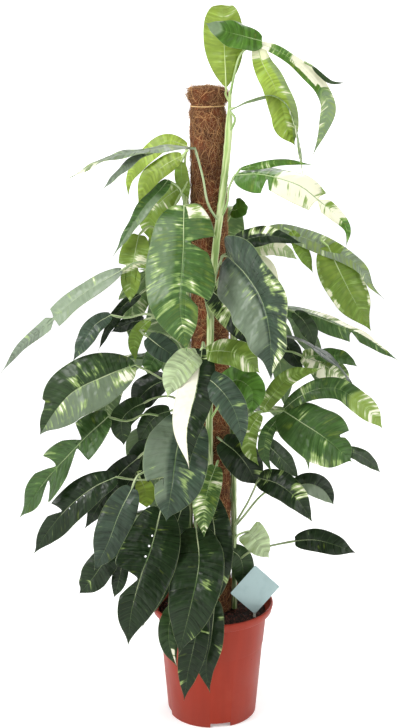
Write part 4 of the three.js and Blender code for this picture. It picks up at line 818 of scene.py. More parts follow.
def add_lobe(sheets, index, leaf, rib, side, rows, span, lower, upper):
    """Adds the part of a half blade that lies between two cuts."""
    green, cream, lime = leaf["look"]
    veins = vein_total(rib)
    steps = max(VEINS["least"], math.ceil(VEINS["steps"] * veins * (span[1] - span[0])))
    u, row = np.meshgrid(np.linspace(0, 1, steps + 1), rows, indexing="ij")
    behind, ahead = openness(lower, row), openness(upper, row)
    start = span[0] + behind
    t = np.clip(start + u * (span[1] - ahead - start), 0, 1)
    rear = BLADE["rear_rounding"] * (1 - u) ** 2 * (behind > 0) * is_cut(lower)
    front = BLADE["front_rounding"] * u ** 4 * (ahead > 0) * is_cut(upper)
    points, width = blade_points(leaf, rib, t, side, row * (1 - rear - front))
    shares = {"cream": np.full_like(t, cream), "lime": np.full_like(t, lime), "pale": np.zeros_like(t)}
    for what, half, t0, t1, r0, r1, strength in leaf["patches"]:
        if half in (0, side):
            there = window(t, t0, t1) * window(row, r0, r1)
            shares[what] = shares[what] * (1 - there) + strength * there
    tint = np.broadcast_to(np.array(linear(GREENS[green])[:3]) * leaf["tone"], (*t.shape, 3))
    fields = [*shares.values(), row, t * veins + COUNT_APART * index, np.full_like(t, GLOW[green])]
    chart = [side * width * MM + index, t * rib.length * MM]
    sheets.add_grid(points, np.concatenate([tint, np.stack([*fields, *chart], -1)], -1), side)


def add_leaf(sheets, index, leaf, rib):
    """Adds the two half blades of a leaf, lobe by lobe."""
    for side, cuts in ((1, leaf.get("left", [])), (-1, leaf.get("right", []))):
        closings = [cut[3] for cut in cuts if not is_cut(cut)]
        rows = np.array(sorted({*ROWS, *[cut[1] for cut in cuts], *closings}))
        edges = [0, *[cut[0] for cut in cuts], 1]
        bounds = [None, *cuts, None]
        for lobe, span in enumerate(zip(edges, edges[1:])):
            add_lobe(sheets, index, leaf, rib, side, rows, span, bounds[lobe], bounds[lobe + 1])


print("a patch's edge is soft over", PATCH_EDGE, "of the blade")

# %% [markdown]
# ## Leaf finish
# A living aroid leaf has a thin waxy skin over green tissue that lets light through. The skin gives a
# broad soft highlight, and the grey of old leaves is a sheen painted into their colour. The tissue is
# mixed with a Translucent shader, so leaves with light behind them glow yellow-green. Cream sectors have
# no chlorophyll and glow more. Side veins are sunk and a little lighter, with painted shade in their
# grooves and painted light on the raised panels between, and streaks of cream run along them, a few
# millimetres wide. A painted picture would suit one leaf only, while nodes that read each leaf's fields
# suit all.

# %% Variegation
# Patterns per metre: streaks 50 mm long on the way out and 6 mm wide, sectors of 33 mm, and pores of 1 mm,
# coarser than real ones so that they show
STREAKS_PER_METRE = (20, 170, 1)
SECTORS_PER_METRE = 30
PORES_PER_METRE = 900


def variegation(add, fields):
    """The patterns that break up a leaf's fields: streaks, sectors and a value for each vein's panel."""
    chart = add("ShaderNodeUVMap", uv_map="BladeMap")
    stretched = add("ShaderNodeVectorMath", [chart, STREAKS_PER_METRE], operation="MULTIPLY")
    streaks = add("ShaderNodeTexNoise", {"Vector": stretched, "Scale": 1.0, "Detail": 4.0, "Roughness": 0.62})
    sectors = add("ShaderNodeTexNoise", {"Vector": chart, "Scale": SECTORS_PER_METRE})
    across = add("ShaderNodeSeparateXYZ", [chart]).outputs["X"]
    leaf = add("ShaderNodeMath", [across], operation="ROUND")
    side = add("ShaderNodeMath", [across, leaf], operation="GREATER_THAN")
    panel = add("ShaderNodeMath", [fields["vein_count"]], operation="FLOOR")
    cell = add("ShaderNodeCombineXYZ", [side, panel, leaf])
    panels = add("ShaderNodeTexWhiteNoise", {"Vector": cell}).outputs["Value"]
    broken = 0.0
    for pattern, strength in ((streaks, 1.25), (sectors, 1.2), (panels, 0.2)):
        centred = add("ShaderNodeMath", [broken, -strength / 2], operation="ADD")
        broken = add("ShaderNodeMath", [pattern, strength, centred], operation="MULTIPLY_ADD")
    return chart, streaks, sectors, broken


print("streaks of", 1000 / STREAKS_PER_METRE[0], "mm by", round(1000 / STREAKS_PER_METRE[1], 1), "mm")


# %% Blade materials
def blade_material(name, relief, gloss, coat, bloom):
    """Living leaf skin, grown with a wax coat. The under side is matt and has a paler bloom over it all."""
    material, add = new_material(name)
    fields = {field: add("ShaderNodeAttribute", attribute_name=field).outputs["Fac"] for field in FIELDS}
    chart, streaks, sectors, broken = variegation(add, fields)
    count = add("ShaderNodeMath", [fields["vein_count"], 2 * math.pi], operation="MULTIPLY")
    ridge = add("ShaderNodeMath", [count], operation="COSINE")
    hill = add("ShaderNodeMapRange", [ridge, -1.0, 1.0, 1.0, 0.0], **SOFT_STEP)
    creamy = add("ShaderNodeMath", [fields["cream"], broken], operation="ADD")
    limy = add("ShaderNodeMath", [fields["lime"], broken], operation="SUBTRACT")
    limy = add("ShaderNodeMapRange", [limy, 0.25, 0.75], **SOFT_STEP)

    # The leaf's own green, shaded by each pattern: from, to, darkest and lightest. Streaks and the broken
    # pattern vary its tone, while hill is painted shade in the sunk vein grooves and painted light on the
    # raised panels between them
    body = add("ShaderNodeAttribute", attribute_name="blade_green")
    for pattern, *shade in ((streaks, 0.3, 0.7, 0.82, 1.16), (hill, 0.0, 1.0, 0.93, 1.04),
                            (broken, -0.3, 0.3, 0.82, 1.3)):
        factor = add("ShaderNodeMapRange", [pattern, *shade], **SOFT_STEP)
        grey = add("ShaderNodeCombineColor", [factor, factor, factor])
        body = add("ShaderNodeMix", {"Factor_Float": 1.0, "A_Color": body, "B_Color": grey}, data_type="RGBA",
                   blend_type="MULTIPLY")

    # Pale and lime fields, then veins, cream with its greenish border, the thin edge and the midrib's foot.
    # The pale layer is partly a painted sheen, and the lime layer partly a painted glow of light through the
    # leaf
    layers = [(add("ShaderNodeMath", [fields["pale"], 0.7], operation="MULTIPLY"), "#8A9A80"),
              (add("ShaderNodeMath", [limy, 0.6], operation="MULTIPLY"), "#9AB34C")]
    for *step, hex_code in ((ridge, 0.95, 1.0, 0.0, 0.05, "#93B070"),
                            (creamy, 0.3, 0.52, 0.0, 0.72, "#9DB56A"),
                            (creamy, 0.48, 0.62, 0.0, 1.0, "#EAE7D2"),
                            (fields["row"], 0.98, 1.0, 0.0, 0.4, "#A9BF80"),
                            (fields["row"], 0.0, 0.035, 0.18, 0.0, "#A3BE78")):
        layers.append((add("ShaderNodeMapRange", step, **SOFT_STEP), hex_code))
    if bloom:
        layers.append((bloom, "#8CA37A"))
    body = painted(add, body, layers)

    pores = add("ShaderNodeTexNoise", {"Vector": chart, "Scale": PORES_PER_METRE})
    height = add("ShaderNodeMath", [pores, 0.15, hill], operation="MULTIPLY_ADD")
    height = add("ShaderNodeMath", [streaks, 0.5, height], operation="MULTIPLY_ADD")
    folds = add("ShaderNodeBump", {"Height": sectors, "Strength": 0.75, "Distance": 12 * MM})
    bump = add("ShaderNodeBump", {"Height": height, "Strength": relief, "Distance": 0.8 * MM,
                                  "Normal": folds})
    roughness = add("ShaderNodeMapRange", [streaks, 0.3, 0.7, *gloss], **SOFT_STEP)
    skin = add("ShaderNodeBsdfPrincipled", {"Base Color": body, "Roughness": roughness, "Normal": bump,
                                            "IOR": 1.45, "Specular IOR Level": 0.26, "Coat Weight": coat,
                                            "Coat Roughness": 0.28})
    glow = add("ShaderNodeMix", {"Factor_Float": 1.0, "A_Color": body, "B_Color": linear("#F2FF8E")},
               data_type="RGBA", blend_type="MULTIPLY")
    tissue = add("ShaderNodeBsdfTranslucent", {"Color": glow, "Normal": bump})
    leaf = add("ShaderNodeMixShader", [fields["glow"], skin, tissue])
    add("ShaderNodeOutputMaterial", {"Surface": leaf})
    return material


BLADE_TOP = blade_material("waxy upper leaf skin", relief=0.2, gloss=(0.26, 0.4), coat=0.04, bloom=0.0)
BLADE_UNDER = blade_material("matt under leaf skin", relief=0.14, gloss=(0.5, 0.62), coat=0.0, bloom=0.4)
print(BLADE_TOP.name, "of", len(BLADE_TOP.node_tree.nodes), "nodes, and", BLADE_UNDER.name)

# %% [markdown]
# ## Stems and petioles
# A petiole runs from the stem out to its blade and on as the blade's midrib, thinner and thinner. Their
# lines are kept as edges with a thickness and a green at each vertex. One Geometry Nodes tree turns all
# lines into tubes with closed ends, and keeps the place round the tube for the stripes of the climbing
# stem. Curve objects with a bevel would do as well, but would be a hundred pieces instead of four.

# %% Lines to tubes
def tube_tree(name, material):
    tree, add, sizes = new_tree(name, {"Sides": 8})
    curve = add("GeometryNodeMeshToCurve", {"Mesh": sizes["Geometry"]})
    length = add("GeometryNodeSplineParameter").outputs["Length"]
    curve = add("GeometryNodeStoreNamedAttribute", {"Geometry": curve, "Name": "stem_length",
                                                    "Value": length})
    circle = add("GeometryNodeCurvePrimitiveCircle", {"Resolution": sizes["Sides"], "Radius": 1.0})
    turn = add("GeometryNodeSplineParameter").outputs["Factor"]
    circle = add("GeometryNodeStoreNamedAttribute", {"Geometry": circle, "Name": "stem_around",
                                                     "Value": turn})
    thick = add("GeometryNodeInputNamedAttribute", {"Name": "thick"})
    tubes = add("GeometryNodeCurveToMesh", {"Curve": curve, "Profile Curve": circle, "Scale": thick,
                                            "Fill Caps": True})
    end_tree(add, tubes, material)
    return tree


class Lines:
    """Collects lines with a thickness and a colour at each point."""

    def __init__(self):
        self.points, self.edges, self.thick, self.greens = [], [], [], []

    def add(self, points, thick, greens):
        first = len(self.points)
        self.points += [tuple(point * MM) for point in points]
        self.edges += [(first + i, first + i + 1) for i in range(len(points) - 1)]
        self.thick += [value * MM for value in thick]
        self.greens += [tuple(green) for green in greens]

    def mesh(self, name):
        mesh = bpy.data.meshes.new(name)
        mesh.from_pydata(self.points, self.edges, [])
        mesh.attributes.new("thick", "FLOAT", "POINT").data.foreach_set("value", np.array(self.thick))
        colours = mesh.attributes.new("stem_green", "FLOAT_COLOR", "POINT")
        colours.data.foreach_set("color", np.array(self.greens).ravel())
        return mesh


print("lines keep their", ", ".join(vars(Lines())))

# %% Stem material
# Light and dark stripes, about eight round the stem and 70 mm long
STRIPES = {"around": 5, "along_per_metre": 9.0, "scale": 1.6}


def stem_material():
    """Living green bark, grown smooth: satin, with pale lengthwise stripes over the stem's own green."""
    material, add = new_material("striped green stem skin")
    green = add("ShaderNodeAttribute", attribute_name="stem_green")
    turn = add("ShaderNodeAttribute", attribute_name="stem_around").outputs["Fac"]
    length = add("ShaderNodeAttribute", attribute_name="stem_length").outputs["Fac"]
    turn = add("ShaderNodeMath", [turn, STRIPES["around"]], operation="MULTIPLY")
    length = add("ShaderNodeMath", [length, STRIPES["along_per_metre"]], operation="MULTIPLY")
    place = add("ShaderNodeCombineXYZ", [turn, length])
    stripes = add("ShaderNodeTexNoise", {"Vector": place, "Scale": STRIPES["scale"], "Detail": 3.0})
    pale = add("ShaderNodeMapRange", [stripes, 0.42, 0.6, 0.0, 0.6], **SOFT_STEP)
    dark = add("ShaderNodeMapRange", [stripes, 0.5, 0.36, 0.0, 0.45], **SOFT_STEP)
    surface(add, painted(add, green, [(pale, "#D3DDB0"), (dark, "#4E7A35")]),
            {"Height": stripes, "Strength": 0.4, "Distance": 0.6 * MM},
            {"Roughness": 0.42, "Specular IOR Level": 0.25})
    return material


TUBES = tube_tree("Tubes along lines", stem_material())
print("tubes of", TUBES.interface.items_tree["Sides"].default_value, "sides")

# %% Petioles and midribs
PETIOLE = {"radius": 1.9, "at_stem": 1.25, "taper": 0.3, "outward": 0.3, "lift": 0.25, "most_lift": 30,
           "climb": 0.35, "arrival": 0.18, "points": 16}
KNEE = {"swell": 0.35, "at": 0.93, "reach": 0.05}
MIDRIB = {"radius": 0.9, "at_base": 1.5, "sunk": 0.55, "from": 0.01, "to": 0.94, "least": 0.6, "most": 1.2,
          "wide_blade": 150, "points": 20}
# How pale petioles and midribs are against their blade
PALENESS = {"colour": "#A2BC74", "least": 0.16, "at_stem": 0.1, "midrib": 0.55, "fading": 0.06}


def petiole_points(leaf, base, next_point):
    """What a petiole passes on its way from its stem to its blade."""
    if isinstance(leaf["start"], tuple):
        return [seen(*leaf["start"]), base]
    start = on_stem(leaf["vine"], leaf["start"])
    if "by" in leaf:
        return [start, *[seen(*point) for point in leaf["by"]], base]
    span = np.linalg.norm(base - start)
    outward = np.array([base[0] - start[0], base[1] - start[1], 0])
    outward = outward / np.linalg.norm(outward)
    rise = start + outward * PETIOLE["outward"] * span
    rise[2] += min(PETIOLE["lift"] * span, PETIOLE["most_lift"]) + PETIOLE["climb"] * (base[2] - start[2])
    into_tip = (next_point - base) / np.linalg.norm(next_point - base)
    return [start, rise, base - into_tip * PETIOLE["arrival"] * span, base]


def mixed(first, second, share):
    return tuple(a + (b - a) * share for a, b in zip(first, second))


def add_petiole(lines, leaf, rib, rib_points):
    """The petiole with its thicker knee below the blade, and the midrib that it runs on into."""
    green = leaf["look"][0]
    own, pale = linear(GREENS[green]), linear(PALENESS["colour"])
    young = PALENESS["least"] + GLOW[green]
    path = Path(petiole_points(leaf, rib_points[0], rib_points[1]))
    shares = np.linspace(0, 1, PETIOLE["points"])
    knee = 1 + KNEE["swell"] * np.exp(-((shares - KNEE["at"]) / KNEE["reach"]) ** 2)
    thick = PETIOLE["radius"] * (PETIOLE["at_stem"] - PETIOLE["taper"] * shares) * knee
    greens = [mixed(own, pale, young + PALENESS["at_stem"] * (1 - share)) for share in shares]
    along_rib = np.linspace(MIDRIB["from"], MIDRIB["to"], MIDRIB["points"])
    middle, _, face, _ = blade_frame(leaf, rib, along_rib)
    sunk = middle - face * MIDRIB["radius"] * MIDRIB["sunk"]
    stout = min(MIDRIB["most"], MIDRIB["least"] + leaf["wide"] / MIDRIB["wide_blade"])
    rib_thick = MIDRIB["radius"] * (MIDRIB["at_base"] - along_rib) * stout
    rib_greens = [mixed(own, pale, PALENESS["midrib"] * young - PALENESS["fading"] * share)
                  for share in along_rib]
    lines.add(np.concatenate([path.at(shares), sunk]), [*thick, *rib_thick], [*greens, *rib_greens])


print("petioles are", 2 * PETIOLE["radius"], "mm thick, midribs", 2 * MIDRIB["radius"], "mm")

# %% [markdown]
# The climbing stem thickens at each node, where a leaf once sat, and a ring scar marks the place. It is
# pale and striped near the top and duller below.

# %% Climbing stems
STEM = {"step": 6.5, "node_every": 52, "bulge": 0.16, "bulge_length": 5.5, "waist": 0.05, "tip": 0.45,
        "tip_length": 60, "old_below": 500, "turning": 600, "old": "#59683A", "young": "#A2B870"}


def add_climbing_stem(lines, vine):
    low, high = STEMS[vine]["turns"][0][0], STEMS[vine]["turns"][-1][0]
    heights = np.arange(low, high, STEM["step"])
    phase = (heights - low) / STEM["node_every"]
    from_node = np.abs(phase - np.round(phase)) * STEM["node_every"]
    swell = (1 + STEM["bulge"] * np.exp(-(from_node / STEM["bulge_length"]) ** 2)
             - STEM["waist"] * np.cos(2 * np.pi * phase))
    tip = np.clip((high - heights) / STEM["tip_length"], STEM["tip"], 1)
    young = np.clip((heights - STEM["old_below"]) / STEM["turning"], 0, 1)
    greens = [mixed(linear(STEM["old"]), linear(STEM["young"]), share) for share in young]
    lines.add(np.array([on_stem(vine, z) for z in heights]), STEMS[vine]["radius"] * swell * tip, greens)


print("a node every", STEM["node_every"], "mm")

# %% Prepare the leaves
TO_VIEWER = np.array([0, -0.85, 0.53])
FAR_FACING = {"outward": 0.8, "upward": 0.6}
# Steps of the golden section spread the leaves' waves and tones evenly, with no two neighbours alike
GOLDEN = 0.618
TONE = {"darkest": 0.86, "spread": 0.3}


def prepared(index, leaf):
    """A leaf with its facing, its look and its own waves, and its midrib's points in space."""
    if leaf in FAR_LEAVES:
        points = [around(*point) for point in leaf["rib"]]
        angle = math.radians(leaf["rib"][1][0])
        facing = np.array([FAR_FACING["outward"] * math.cos(angle), FAR_FACING["outward"] * math.sin(angle),
                           FAR_FACING["upward"]])
    else:
        points = [seen(*point) for point in leaf["rib"]]
        facing = TO_VIEWER
    spread = (index * GOLDEN) % 1
    return {**leaf, "facing": facing, "look": leaf["look"] or far_look(index, leaf["start"]),
            "waves": WAVES["fewest"] + WAVES["spread"] * spread, "phase": spread,
            "tone": TONE["darkest"] + TONE["spread"] * spread}, points


LEAVES = [prepared(index, leaf) for index, leaf in enumerate([*LEAVES_AS_SEEN, *FAR_LEAVES])]
print(len(LEAVES), "leaves prepared")

# %% Make the four leafy stems
WELD_DISTANCE = 0.02

for vine in STEMS:
    sheets, lines = BladeSheets(), Lines()
    add_climbing_stem(lines, vine)
    for index, (leaf, rib_points) in enumerate(LEAVES):
        if leaf["vine"] == vine:
            rib = Path(rib_points)
            add_leaf(sheets, index, leaf, rib)
            add_petiole(lines, leaf, rib, rib_points)
    carrier = link_object("sheets", sheets.mesh("sheets"))
    weld = carrier.modifiers.new("Weld", "WELD")
    weld.merge_threshold = WELD_DISTANCE * MM
    shell = carrier.modifiers.new("Shell", "SOLIDIFY")
    shell.thickness = BLADE["thickness"] * MM
    shell.offset = 0
    shell.material_offset = 1
    carrier.data.materials.append(BLADE_TOP)
    carrier.data.materials.append(BLADE_UNDER)
    carrier.data.shade_smooth()
    blades = settle(f"{vine}_leaf_blades", carrier)
    finish_piece(blades, f"vine_{vine}")
    stems = grow(f"{vine}_stem_and_petioles", lines.mesh("lines"), TUBES)
    finish_piece(stems, f"vine_{vine}")

# %% [markdown]
# ## Turned shapes
# The pot, the compost and the pole are round, so a profile is turned about an axis. Points on the axis
# become one vertex, which closes the ends. A Screw modifier could do it, but leaves the axis open.

# %% Turn a profile
def turned(name, profile, sides, place=None):
    """A closed mesh from a profile of (radius, height) in millimetres. place may move each point."""
    rings, points = [], []
    for radius, z in profile:
        count = 1 if radius == 0 else sides
        rings.append([len(points) + i for i in range(count)])
        for i in range(count):
            angle = 2 * math.pi * i / sides
            point = Vector((radius * math.cos(angle), radius * math.sin(angle), z))
            points.append((place(point) if place else point) * MM)
    faces = []
    for low, high in zip(rings, rings[1:]):
        for i in range(sides):
            corners = [low[i % len(low)], low[(i + 1) % len(low)],
                       high[(i + 1) % len(high)], high[i % len(high)]]
            face = list(dict.fromkeys(corners))
            if len(face) > 2:
                faces.append(face)
    mesh = bpy.data.meshes.new(name)
    mesh.from_pydata(points, [], faces)
    mesh.shade_smooth()
    return mesh


def refined(profile, step):
    """The profile with extra points, so that none lie further apart than step."""
    fine = []
    for (r0, z0), (r1, z1) in zip(profile, profile[1:]):
        count = max(1, math.ceil(math.hypot(r1 - r0, z1 - z0) / step))
        fine += [(r0 + (r1 - r0) * i / count, z0 + (z1 - z0) * i / count) for i in range(count)]
    return [*fine, profile[-1]]


print(len(refined(POLE_OUTLINE, 5)), "points up the pole")

# %% [markdown]
# ## Coir pole
# The pole is a wooden stake in a sleeve of coconut fibre, pressed into a mat. Its surface is lumpy, with
# fibres in all directions and a fuzzy knob above the neck. The mat is a turned shape moved in and out by
# noise. Fibres are scattered over it by Geometry Nodes, each bent, nearly flat on the surface, from dark
# brown to straw. Hair curves would be quicker, but an export drops them, so each fibre is a real thread.

# %% Coir materials
# Strands about 4 mm long in tufts of about 24 mm
COIR = {"strands_per_metre": 260.0, "tufts_per_metre": 42.0}


def coir_mat_material():
    """Coconut fibre, felted and pressed: dull, with painted shade dark between the strands, and redder in
    some tufts.
    """
    material, add = new_material("matted coconut fibre")
    place = add("ShaderNodeTexCoord").outputs["Object"]
    strands = add("ShaderNodeTexNoise", {"Vector": place, "Scale": COIR["strands_per_metre"], "Detail": 6.0,
                                         "Roughness": 0.7, "Distortion": 2.2})
    tufts = add("ShaderNodeTexNoise", {"Vector": place, "Scale": COIR["tufts_per_metre"]})
    # The dark base colour shows where the strands lie lowest: painted shade in the hollows between them
    brown = add("ShaderNodeMapRange", [strands, 0.36, 0.64], **SOFT_STEP)
    red = add("ShaderNodeMapRange", [tufts, 0.4, 0.65, 0.0, 0.4], **SOFT_STEP)
    surface(add, painted(add, linear("#22150F"), [(brown, "#7A4F34"), (red, "#7E3D22")]),
            {"Height": strands, "Strength": 1.0, "Distance": 2 * MM},
            {"Roughness": 0.95, "Specular IOR Level": 0.15})
    return material


def loose_material(name, dark, light):
    """Loose fibres or crumbs, dry and dull, each with a shade of its own between two colours."""
    material, add = new_material(name)
    shade = add("ShaderNodeAttribute", attribute_name="own_shade").outputs["Fac"]
    surface(add, painted(add, linear(dark), [(shade, light)]), None,
            {"Roughness": 0.7, "Specular IOR Level": 0.2})
    return material


print("strands of about", round(1000 / COIR["strands_per_metre"]), "mm")

# %% Coir mat
LUMP = {"coarse": 2.2, "coarse_scale": 0.045, "fine": 0.8, "fine_scale": 0.16}
MAT = {"step": 5, "sides": 72, "top": [(9, 1224.5), (0, 1225)]}


def lumpy(point):
    """Leans a point with the pole and moves it out or in by noise."""
    outward = Vector((point.x, point.y, 0))
    coarse = noise.noise(point * LUMP["coarse_scale"]) * LUMP["coarse"]
    fine = noise.noise(point * LUMP["fine_scale"]) * LUMP["fine"]
    if outward.length > 1:
        point = point + outward.normalized() * (coarse + fine)
    return point + Vector((pole_x(point.z), 0, 0))


mat_profile = [(0, POLE_OUTLINE[0][1]), *refined(POLE_OUTLINE, MAT["step"]), *MAT["top"]]
coir_mat = link_object("coir_mat", turned("coir_mat", mat_profile, MAT["sides"], lumpy))
coir_mat.data.materials.append(coir_mat_material())
finish_piece(coir_mat, "coir_pole")

# %% Coir fibres
FIBRES = {"Per square metre": 37500.0, "Length": 0.021, "Radius": 0.00022, "Curl": 0.0035, "Seed": 3}
# How far fibres tilt off the surface, in radians, and how their lengths vary
LIE = {"tilt": 0.16, "shortest": 0.5, "longest": 1.7, "shade_seed": 11}


def shaded_copies(add, points, piece, turn, size, seed, material):
    """Ends a tree with copies of a piece on points, each with a shade of its own."""
    copies = add("GeometryNodeInstanceOnPoints", {"Points": points, "Instance": piece, "Rotation": turn,
                                                  "Scale": size})
    shade = add("FunctionNodeRandomValue", {"Min_001": 0.0, "Max_001": 1.0, "Seed": seed}, data_type="FLOAT")
    shaded = add("GeometryNodeStoreNamedAttribute", {"Geometry": copies, "Name": "own_shade", "Value": shade},
                 domain="INSTANCE")
    end_tree(add, shaded, material)


def fibre_tree(material):
    """Fibres scattered on a surface: bent threads, turned at random and nearly flat on it."""
    tree, add, sizes = new_tree("Loose fibres", FIBRES)
    cloud = add("GeometryNodeDistributePointsOnFaces", {"Mesh": sizes["Geometry"], "Seed": sizes["Seed"],
                                                        "Density": sizes["Per square metre"]})
    ends = [add("ShaderNodeMath", [sizes["Length"], half], operation="MULTIPLY") for half in (-0.5, 0.5)]
    start, end = (add("ShaderNodeCombineXYZ", [half]) for half in ends)
    bend = add("ShaderNodeCombineXYZ", {"Y": sizes["Curl"], "Z": sizes["Radius"]})
    arc = add("GeometryNodeCurvePrimitiveBezierSegment", {"Resolution": 3, "Start": start, "End": end,
                                                          "Start Handle": bend, "End Handle": bend},
              mode="POSITION")
    section = add("GeometryNodeCurvePrimitiveCircle", {"Resolution": 3, "Radius": sizes["Radius"]})
    thread = add("GeometryNodeCurveToMesh", {"Curve": arc, "Profile Curve": section, "Fill Caps": True})
    tilt = add("FunctionNodeRandomValue", {"Min": (-LIE["tilt"], -LIE["tilt"], 0.0),
                                           "Max": (LIE["tilt"], LIE["tilt"], 2 * math.pi),
                                           "Seed": sizes["Seed"]}, data_type="FLOAT_VECTOR")
    turn = add("FunctionNodeEulerToRotation", [tilt])
    lie = add("FunctionNodeRotateRotation", {"Rotation": cloud.outputs["Rotation"], "Rotate By": turn},
              rotation_space="LOCAL")
    size = add("FunctionNodeRandomValue", {"Min_001": LIE["shortest"], "Max_001": LIE["longest"],
                                           "Seed": sizes["Seed"]}, data_type="FLOAT")
    shaded_copies(add, cloud.outputs["Points"], thread, lie, size, LIE["shade_seed"], material)
    return tree


coir_fibre = loose_material("loose coconut fibre", "#3C241A", "#CC9D68")
coir_fibres = grow("coir_fibres", coir_mat.data.copy(), fibre_tree(coir_fibre))
finish_piece(coir_fibres, "coir_pole")

# %% [markdown]
# A fine net holds the fibre to the stake. Its threads wind round the pole both ways and cross in diamonds
# about 14 mm wide. Geometry Nodes repeats one line round the pole, winds the lines as helices, and does
# the same the other way round.

# %% Net
NET = {"Threads": 16, "Turns": 13.0, "Radius": 0.0363, "Taper": 0.0035, "Thread": 0.00028, "Bottom": 0.2,
       "Top": 1.183, "Steps": 420}
# Turns of the whole net to one side, so that the threads of both ways don't start from the same points
NET_START = 0.1


def wound_threads(add, sizes, way):
    """One family of threads, all wound the same way."""
    line = add("GeometryNodeCurvePrimitiveLine", {"End": (0.0, 0.0, 1.0)})
    line = add("GeometryNodeResampleCurve", {"Curve": line, "Count": sizes["Steps"]})
    share = add("GeometryNodeSplineParameter").outputs["Factor"]
    starts = add("GeometryNodePoints", {"Count": sizes["Threads"]})
    copies = add("GeometryNodeInstanceOnPoints", {"Points": starts, "Instance": line})
    which = add("GeometryNodeInputIndex")
    copies = add("GeometryNodeStoreNamedAttribute", {"Geometry": copies, "Name": "thread_number",
                                                     "Value": which}, domain="INSTANCE")
    lines = add("GeometryNodeRealizeInstances", {"Geometry": copies})
    number = add("GeometryNodeInputNamedAttribute", {"Name": "thread_number"})
    begin = add("ShaderNodeMath", [number, sizes["Threads"]], operation="DIVIDE")
    turns = add("ShaderNodeMath", [share, sizes["Turns"]], operation="MULTIPLY")
    turns = add("ShaderNodeMath", [turns, NET_START * way, begin], operation="MULTIPLY_ADD")
    angle = add("ShaderNodeMath", [turns, 2 * math.pi], operation="MULTIPLY")
    narrow = add("ShaderNodeMath", [share, sizes["Taper"]], operation="MULTIPLY")
    radius = add("ShaderNodeMath", [sizes["Radius"], narrow], operation="SUBTRACT")
    height = add("ShaderNodeMapRange", {"Value": share, "To Min": sizes["Bottom"], "To Max": sizes["Top"]})
    lean = add("ShaderNodeMath", [height, POLE["lean_per_mm"], POLE["axis_at_floor"] * MM],
               operation="MULTIPLY_ADD")
    cosine = add("ShaderNodeMath", [angle], operation="COSINE")
    sine = add("ShaderNodeMath", [angle], operation="SINE")
    x = add("ShaderNodeMath", [cosine, radius, lean], operation="MULTIPLY_ADD")
    y = add("ShaderNodeMath", [sine, radius], operation="MULTIPLY")
    place = add("ShaderNodeCombineXYZ", [x, y, height])
    return add("GeometryNodeSetPosition", {"Geometry": lines, "Position": place})


def net_tree(material):
    tree, add, sizes = new_tree("Diamond net", NET)
    both = add("GeometryNodeJoinGeometry")
    for way in (1, -1):
        tree.links.new(wound_threads(add, sizes, way).outputs[0], both.inputs[0])
    section = add("GeometryNodeCurvePrimitiveCircle", {"Resolution": 3, "Radius": sizes["Thread"]})
    threads = add("GeometryNodeCurveToMesh", {"Curve": both, "Profile Curve": section, "Fill Caps": True})
    end_tree(add, threads, material)
    return tree


def net_material():
    """Extruded polyethylene thread, brown, with dust in patches of about 11 mm."""
    material, add = new_material("brown polyethylene net thread")
    place = add("ShaderNodeTexCoord").outputs["Object"]
    dust = add("ShaderNodeTexNoise", {"Vector": place, "Scale": 90.0})
    surface(add, painted(add, linear("#5E3A28"), [(dust, "#A9805A")]), None, {"Roughness": 0.55})
    return material


coir_net = grow("coir_net", bpy.data.meshes.new("net_carrier"), net_tree(net_material()))
finish_piece(coir_net, "coir_pole")

# %% [markdown]
# ## Twine at the neck
# Three strands of golden fibre are twisted together and go once round the neck. How the twine is tied
# can't be seen, so the ring closes in itself. The strands are lines that wind about the ring, and the
# same tube tree gives them their body. A plain ring with a twisted bump would look flat at its outline,
# so the strands are real.

# %% Twine
TWINE = {"strands": 3, "strand_radius": 0.55, "apart": 1.1, "twist": 34, "steps": 260, "ring_gap": 1.1,
         "rise": 1.2, "rise_from": 0.6, "sides": 5, "fuzz_per_metre": 900.0}


def twine_material():
    """Spun plant fibre: dull, with a soft sheen and a shade that changes every millimetre or so."""
    material, add = new_material("golden twisted plant twine")
    length = add("ShaderNodeAttribute", attribute_name="stem_length").outputs["Fac"]
    length = add("ShaderNodeMath", [length, TWINE["fuzz_per_metre"]], operation="MULTIPLY")
    turn = add("ShaderNodeAttribute", attribute_name="stem_around").outputs["Fac"]
    fuzz = add("ShaderNodeTexNoise", {"Vector": add("ShaderNodeCombineXYZ", [length, turn]), "Scale": 1.0})
    surface(add, painted(add, linear("#A97A3E"), [(fuzz, "#E4C489")]), None,
            {"Roughness": 0.75, "Sheen Weight": 0.3})
    return material


def twine_lines():
    lines = Lines()
    ring = POLE["neck_radius"] + TWINE["ring_gap"]
    middle = np.array([pole_x(POLE["neck"]), 0, POLE["neck"]])
    around_ring = np.linspace(0, 2 * np.pi, TWINE["steps"])
    for strand in range(TWINE["strands"]):
        roll = TWINE["twist"] * around_ring + 2 * np.pi * strand / TWINE["strands"]
        out = ring + TWINE["strand_radius"] * TWINE["apart"] * np.cos(roll)
        up = (TWINE["strand_radius"] * TWINE["apart"] * np.sin(roll)
              + TWINE["rise"] * np.sin(around_ring + TWINE["rise_from"]))
        points = middle + np.stack([out * np.cos(around_ring), out * np.sin(around_ring), up], -1)
        lines.add(points, [TWINE["strand_radius"]] * len(points), [linear("#C8A162")] * len(points))
    return lines


twine = grow("neck_twine", twine_lines().mesh("twine_lines"), tube_tree("Twine strands", twine_material()),
             {"Sides": TWINE["sides"]})
finish_piece(twine, "binding_twine")

# %% [markdown]
# ## Nursery pot
# The pot is injection-moulded polypropylene, coloured through. Its wall is thin with a rolled band at the
# rim, a faint step below the middle, four notches in the foot ring and drain holes in the floor. The
# plastic is satin, with very fine flow marks that run up the wall. The section is turned about the axis,
# and a Boolean cuts the notches and holes, as the mould's inserts do.

# %% Pot shape
POT = {"height": 231, "rim": 120, "band": 16, "body_top": 107.5, "step": 146, "step_depth": 1.2, "base": 87.5,
       "wall": 2, "floor": 10, "foot": 28, "sides": 160}


